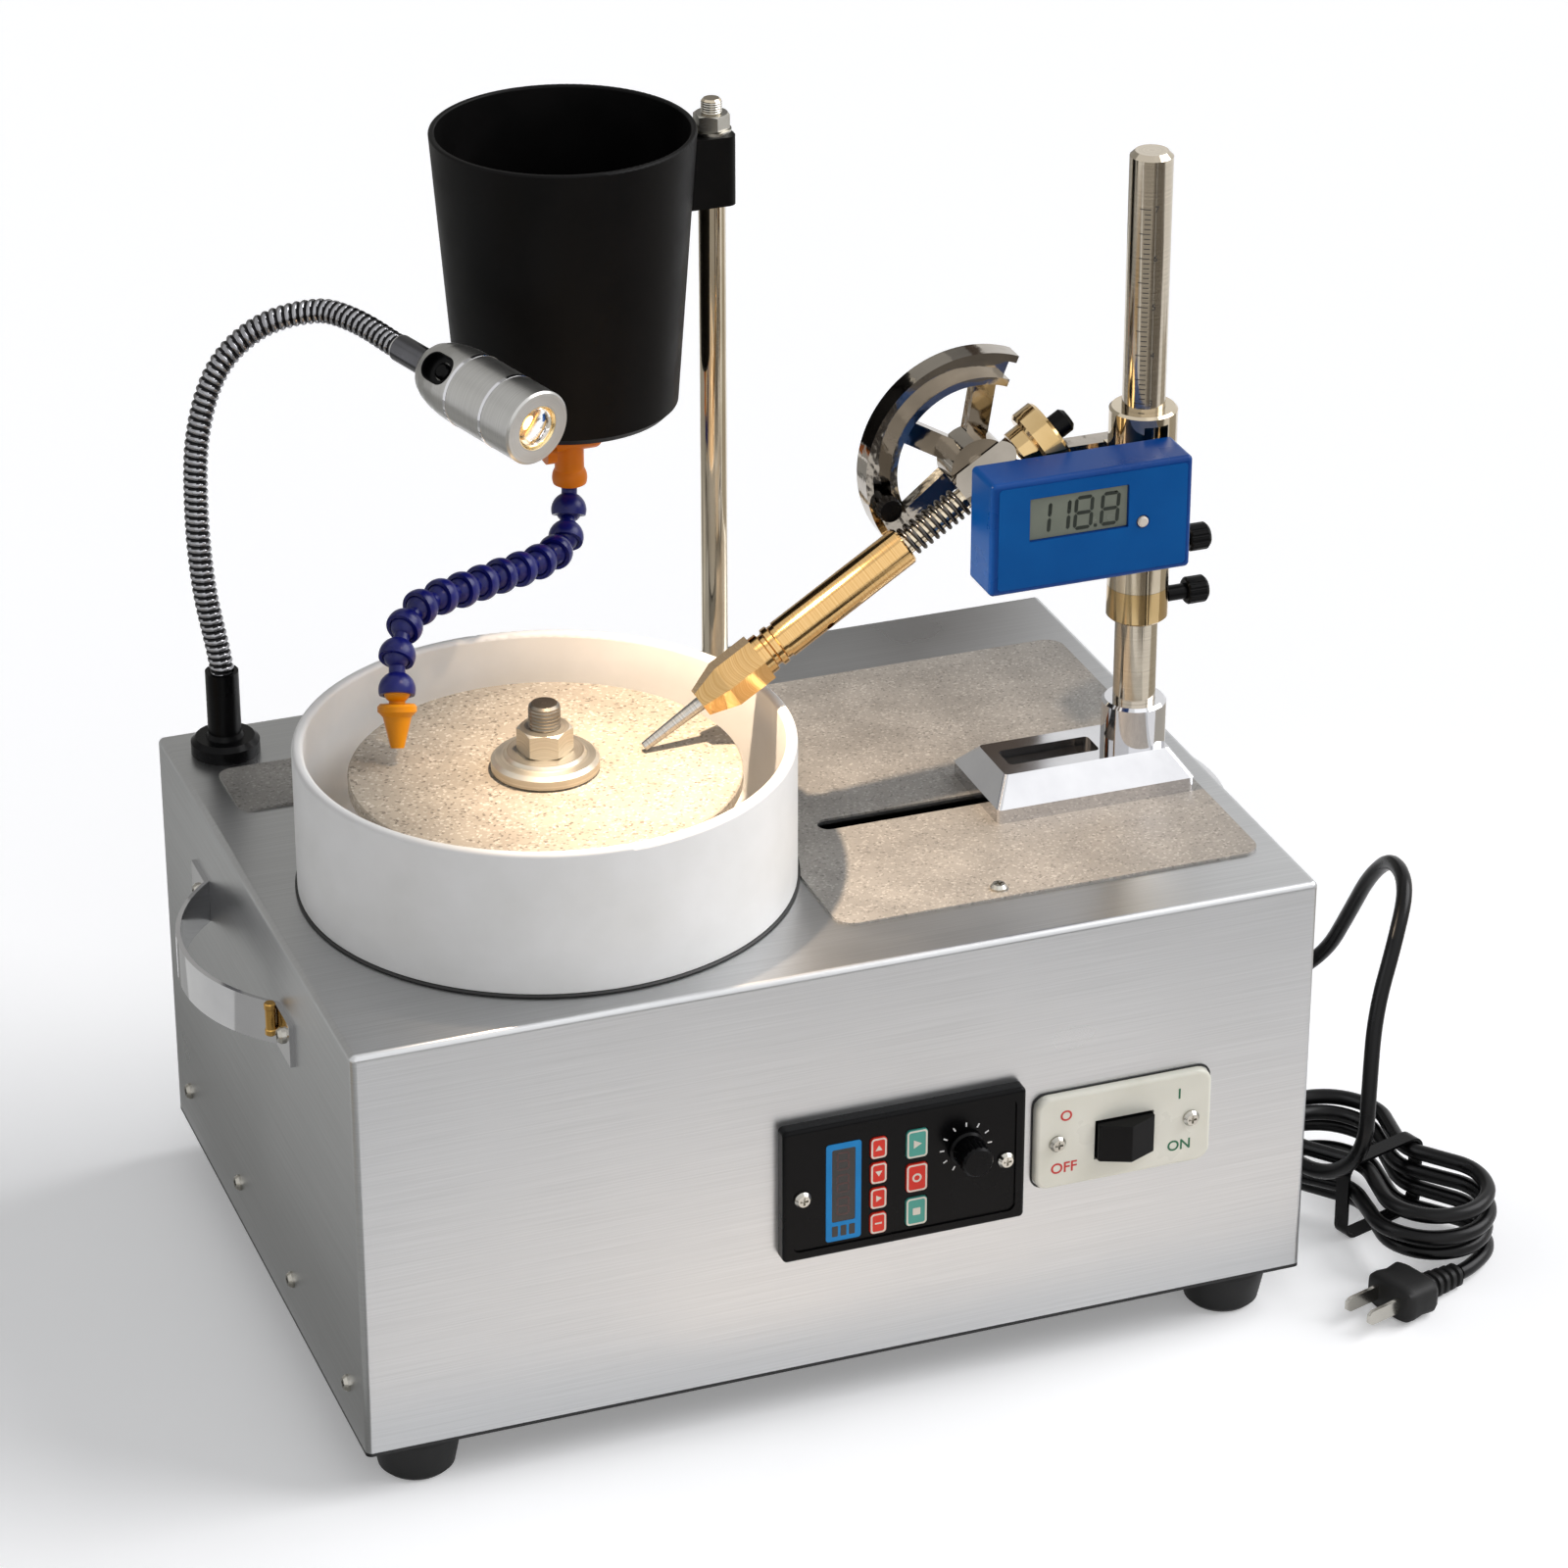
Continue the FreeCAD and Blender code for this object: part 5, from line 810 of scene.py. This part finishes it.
# Operator panel print: display, tick marks, key borders and plain key marks
panel = {"field": -145.2, "frame": (-11.1, 3.3, 79.0, 122.3), "frameCorner": 1.2, "frameThick": 0.25,
         "window": (-8.7, 0.9, 87.4, 119.7), "windowCorner": 0.8, "windowThick": 0.12,
         "lamps": 3, "lamp": (0.1, 2.5, 81.0, 85.6), "lampPitch": 3.5, "lampCorner": 0.3, "lampUnder": 0.24,
         "lampThick": 0.08, "digit": (4.6, 7.4, 0.8), "digitAt": (2.3, 3.1), "digitPitch": 10,
         "digitThick": 0.04, "knob": (46.6, 109.8), "ticks": 11, "tickFrom": -60, "tickTurn": 30,
         "tickIn": 9.0, "tickOut": 10.8, "tickHalf": 0.3, "tickThick": 0.06}


def panelShape(name, outlines, thick, material, under=0.0):
    frontShape(name, outlines, panel["field"] - under, thick, "base", material)


windowEdge = roundBox(panel["window"], panel["windowCorner"])
frameEdge = roundBox(panel["frame"], panel["frameCorner"])
panelShape("display_frame", [frameEdge, windowEdge], panel["frameThick"], "blue screen ink")
panelShape("display_window", [windowEdge], panel["windowThick"], "smoked acrylic")
windowLeft, windowLow = panel["window"][0], panel["window"][2]
for i in range(panel["lamps"]):
    left, right, low, high = panel["lamp"]
    x = windowLeft + i * panel["lampPitch"]
    panelShape("display_lamp_%d" % (i + 1), [roundBox((x + left, x + right, low, high), panel["lampCorner"])],
               panel["lampThick"], "smoked acrylic", panel["lampUnder"])
    x, z = panel["digitAt"]
    bars = segmentDigit("8", windowLeft + x, windowLow + z + i * panel["digitPitch"], *panel["digit"], 0.0)
    # the unlit digits glow faintly: painted light
    panelShape("display_digit_%d" % (i + 1), bars, panel["digitThick"], "unlit red LED with painted glow", panel["windowThick"])
ticks = []
for i in range(panel["ticks"]):
    a = radians(panel["tickFrom"] + panel["tickTurn"] * i)
    out, across = Vector((cos(a), sin(a))), Vector((-sin(a), cos(a))) * panel["tickHalf"]
    near, far = Vector(panel["knob"]) + out * panel["tickIn"], Vector(panel["knob"]) + out * panel["tickOut"]
    ticks.append([near - across, far - across, far + across, near + across])
panelShape("speed_ticks", ticks, panel["tickThick"], "white screen ink")
keyMarks = {
    "red_key_4": [[(-1, -0.7), (1, -0.7), (0, 0.9)]],
    "red_key_3": [[(-1, 0.7), (0, -0.9), (1, 0.7)]],
    "red_key_2": [[(-0.7, -1), (0.9, 0), (-0.7, 1)]],
    "red_key_1": [[(-1, -0.25), (1, -0.25), (1, 0.25), (-1, 0.25)]],
    "run_key": [[(-0.8, -1), (1, 0), (-0.8, 1)]],
    "reset_key": [circle(0, 0, 1.05, 24), circle(0, 0, 0.62, 24)],
    "stop_key": [roundBox((-0.85, 0.85, -0.85, 0.85), 0.2)],
}
keyPrint = {"edge": 0.25, "edgeCorner": 1.4, "inside": 0.95, "insideCorner": 0.9, "mark": 0.21, "sunk": 0.02,
            "thick": 0.08}
for finishName, slotName in (("red moulded ABS", "red_plastic"), ("green moulded ABS", "green_plastic")):
    for name in nodeFinish[finishName]:
        low, high = boxMm(name)
        middle = (low + high) / 2
        sides = frontSides(name)
        outlines = [roundBox(sides, keyPrint["edgeCorner"], -keyPrint["edge"]),
                    roundBox(sides, keyPrint["insideCorner"], -keyPrint["inside"])]
        size = (high.x - low.x) * keyPrint["mark"]
        outlines += [[(middle.x + x * size, middle.z + z * size) for x, z in mark] for mark in keyMarks[name]]
        y = low.y + keyPrint["sunk"]
        frontShape(name + "_print", outlines, y, keyPrint["thick"], name + "_cap", "pale screen ink")

# Switch plate: gasket line and words
switch = {"gasket": 0.5, "outside": 0.6, "outsideCorner": 5.4, "inside": 0.1, "insideCorner": 4.8,
          "high": 4.6, "bold": 0.09, "front": 0.04, "thick": 0.1,
          "words": (("off_word", "OFF", 88.5, 90.8, "red screen ink"),
                    ("on_word", "ON", 137.5, 90.8, "green screen ink"),
                    ("off_mark", "O", 89.0, 114.0, "red screen ink"),
                    ("on_mark", "I", 137.0, 114.0, "green screen ink"))}
switchSides = frontSides("switch_plate")
gasket = [roundBox(switchSides, switch["outsideCorner"], switch["outside"]),
          roundBox(switchSides, switch["insideCorner"], -switch["inside"])]
frontShape("switch_gasket", gasket, caseLow.y, switch["gasket"], "base", "seal rubber")
for name, text, x, z, material in switch["words"]:
    curve = centredText(name, text, switch["high"])
    curve.extrude = switch["thick"] / 2 * mm
    curve.offset = switch["bold"] * mm
    matrix = Matrix.Translation(place(x, boxMm("switch_plate")[0].y - switch["front"], z)) @ frontTurn
    addRider(name, curve, "base", material, matrix)

# Mast scale: engraved lines and figures on the side that faces the operator
scale = {"low": 300.0, "high": 440.0, "step": 2.0, "every": 5, "facing": -112.0, "long": 4.4, "short": 2.4,
         "line": 0.18, "figureEvery": 10, "figureHigh": 2.6, "figureTurn": 16.0, "proud": 0.03, "strip": 0.25,
         "strips": 5, "arcs": 5}
mastLow, mastHigh = boxMm("mast_rod")
rodRadius = (mastHigh.x - mastLow.x) / 2


def onMast(angle, z):
    # a point just proud of the rod
    r = rodRadius + scale["proud"]
    return place(mastAxis.x + r * cos(angle), mastAxis.y + r * sin(angle), z)


def mastFigure(name, text, angle, z):
    # a flat figure, cut into narrow upright strips and bent round the rod
    flat = bpy.data.objects.new(name + "_flat", centredText(name + "_flat", text, scale["figureHigh"]))
    shape = bmesh.new()
    shape.from_mesh(bpy.data.meshes.new_from_object(flat))
    bpy.data.objects.remove(flat)
    for k in range(-scale["strips"], scale["strips"] + 1):
        bmesh.ops.bisect_plane(shape, geom=shape.verts[:] + shape.edges[:] + shape.faces[:],
                               plane_co=(k * scale["strip"] * mm, 0, 0), plane_no=(1, 0, 0))
    for point in shape.verts:
        point.co = onMast(angle + point.co.x / (rodRadius * mm), z) + up * point.co.y
    mesh = bpy.data.meshes.new(name)
    shape.to_mesh(mesh)
    shape.free()
    addRider(name, mesh, "mast", "engraved ink")


tickPoints, tickFaces = [], []
facing = radians(scale["facing"])
for i in range(int((scale["high"] - scale["low"]) / scale["step"]) + 1):
    z = scale["low"] + i * scale["step"]
    span = (scale["long"] if i % scale["every"] == 0 else scale["short"]) / rodRadius
    first = len(tickPoints)
    for k in range(scale["arcs"] + 1):
        for dz in (-scale["line"], scale["line"]):
            tickPoints.append(onMast(facing - span * k / scale["arcs"], z + dz))
    for a in range(first, first + 2 * scale["arcs"], 2):
        tickFaces.append((a, a + 1, a + 3, a + 2))
    if i % scale["figureEvery"] == 0:
        number = i // scale["figureEvery"]
        mastFigure("mast_figure_%d" % number, str(number), facing + radians(scale["figureTurn"]), z)
addPiece("mast_scale", tickPoints, tickFaces, "mast", "engraved ink", "chrome")
print("print and scales made")


def addSheet(name, corners, material):
    # a flat sheet of the stage
    mesh = bpy.data.meshes.new(name)
    mesh.from_pydata(corners, [], [(0, 1, 2, 3)])
    mesh.materials.append(finish[material])
    sheet = addObject(name, mesh)
    return sheet


def seenRays(tree):
    # 1 for rays from the camera, from metal and through glass
    rays = addNode(tree, "LightPath")
    seen = addNode(tree, "Math", {0: rays["Is Camera Ray"], 1: rays["Is Glossy Ray"]}, operation="MAXIMUM")
    return addNode(tree, "Math", {0: seen[0], 1: rays["Is Transmission Ray"]}, operation="MAXIMUM")[0]


# Floor: white paper that keeps the object's shadow
paper = {"half": 6.0, "colour": "#f4f4f4", "lift": 0.235}
floorTree, floorShader, _ = startMaterial("white paper", Roughness=0.9, Specular_IOR_Level=0.0,
                                          Base_Color=linear(paper["colour"]), Emission_Color=(1, 1, 1, 1))
lift = addNode(floorTree, "Math", {0: seenRays(floorTree)}, {1: paper["lift"]}, operation="MULTIPLY")
floorTree.links.new(lift[0], floorShader.inputs["Emission Strength"])
half = paper["half"]
addSheet("floor", [(-half, -half, 0), (half, -half, 0), (half, half, 0), (-half, half, 0)], "white paper")

# World: soft light on the object, white behind it
studio = {"soft": 0.30, "tint": "#f3f4f7"}
world = bpy.data.worlds.new("studio")
bpy.context.scene.world = world
world.use_nodes = True
sky = world.node_tree
sky.nodes.clear()
soft = addNode(sky, "Background", None, {"Color": linear(studio["tint"]), "Strength": studio["soft"]})
white = addNode(sky, "Background", None, {"Color": (1, 1, 1, 1), "Strength": 1.0})
blend = addNode(sky, "MixShader", {0: seenRays(sky), 1: soft[0], 2: white[0]})
addNode(sky, "OutputWorld", {"Surface": blend[0]})

# Cards that only show in bright metal and gloss: two opposite corners in mm and a tone
cards = {
    "leftFlag": ((-1000, -450, 8), (-245, 1000, 8), "#aaaaa8"),
    "nearFlag": ((-245, -450, 8), (-200, 1000, 8), "#858583"),
    "strapCard": ((-530, 30, 10), (-322, 430, 10), "#d2d2d0"),
    "frontFlag": ((0, -1600, 8), (1100, -560, 8), "#7a756f"),
    "darkStrip": ((230, -1600, 10), (290, -540, 10), "#1c1a18"),
    "brightStrip": ((290, -1600, 10), (325, -540, 10), "#ffffff"),
    "darkerStrip": ((325, -1600, 10), (372, -540, 10), "#35312d"),
    "frontLeftFlag": ((-1300, -1600, 8), (0, -560, 8), "#aeaaa4"),
    "rightFlag": ((450, -260, 8), (1100, 320, 8), "#bcb6ab"),
    "backFlag": ((-1500, 900, 60), (240, 900, 1500), "#b2b1ae"),
    "backHalfFlag": ((240, 900, 60), (440, 900, 1500), "#8f8e8c"),
    "backPost": ((440, 900, 60), (530, 900, 1500), "#5a5048"),
    "warmStrip": ((-920, -300, 12), (-535, 0, 12), "#b89a6c"),
}
for name, ((x0, y0, z0), (x1, y1, z1), tone) in cards.items():
    startMaterial(name + " board", Roughness=1.0, Specular_IOR_Level=0.0, Base_Color=(0, 0, 0, 1),
                  Emission_Color=linear(tone), Emission_Strength=1.0)
    corners = [place(x0, y0, z0), place(x1, y0, z0), place(x1, y1, z1), place(x0, y1, z1)]
    card = addSheet(name, corners, name + " board")
    card.visible_camera = card.visible_diffuse = card.visible_shadow = False

# Lamps: a broad key from the right and a weaker fill from the front
lamps = {
    "key": {"from": (0.72, -0.14, 0.64), "power": 2.4, "spread": 46.0, "colour": "#fdfdff"},
    "fill": {"from": (0.05, -0.85, 0.52), "power": 0.5, "spread": 70.0, "colour": "#fbfcff"},
}
for name, spec in lamps.items():
    light = bpy.data.lights.new(name, "SUN")
    light.angle = radians(spec["spread"])
    light.energy = spec["power"]
    light.color = linear(spec["colour"])[:3]
    sun = addObject(name, light)
    aim(sun, -Vector(spec["from"]))

# The warm pool of the work lamp on the lap and the deck
beam = {"power": 6.6, "colour": "#ffe4c6", "angle": 92.0, "at": (-62, -60, 450), "aim": (10, -70, 215),
        "soft": 5.0}
pool = bpy.data.lights.new("lamp_pool", "SPOT")
pool.energy = beam["power"]
pool.color = linear(beam["colour"])[:3]
pool.spot_size = radians(beam["angle"])
pool.spot_blend = 1.0
pool.shadow_soft_size = beam["soft"] * mm
poolLamp = addObject("lamp_pool", pool)
poolLamp.location = place(*beam["at"])
aim(poolLamp, place(*beam["aim"]) - poolLamp.location)
bpy.context.scene.view_settings.view_transform = "Standard"
print("stage lit")
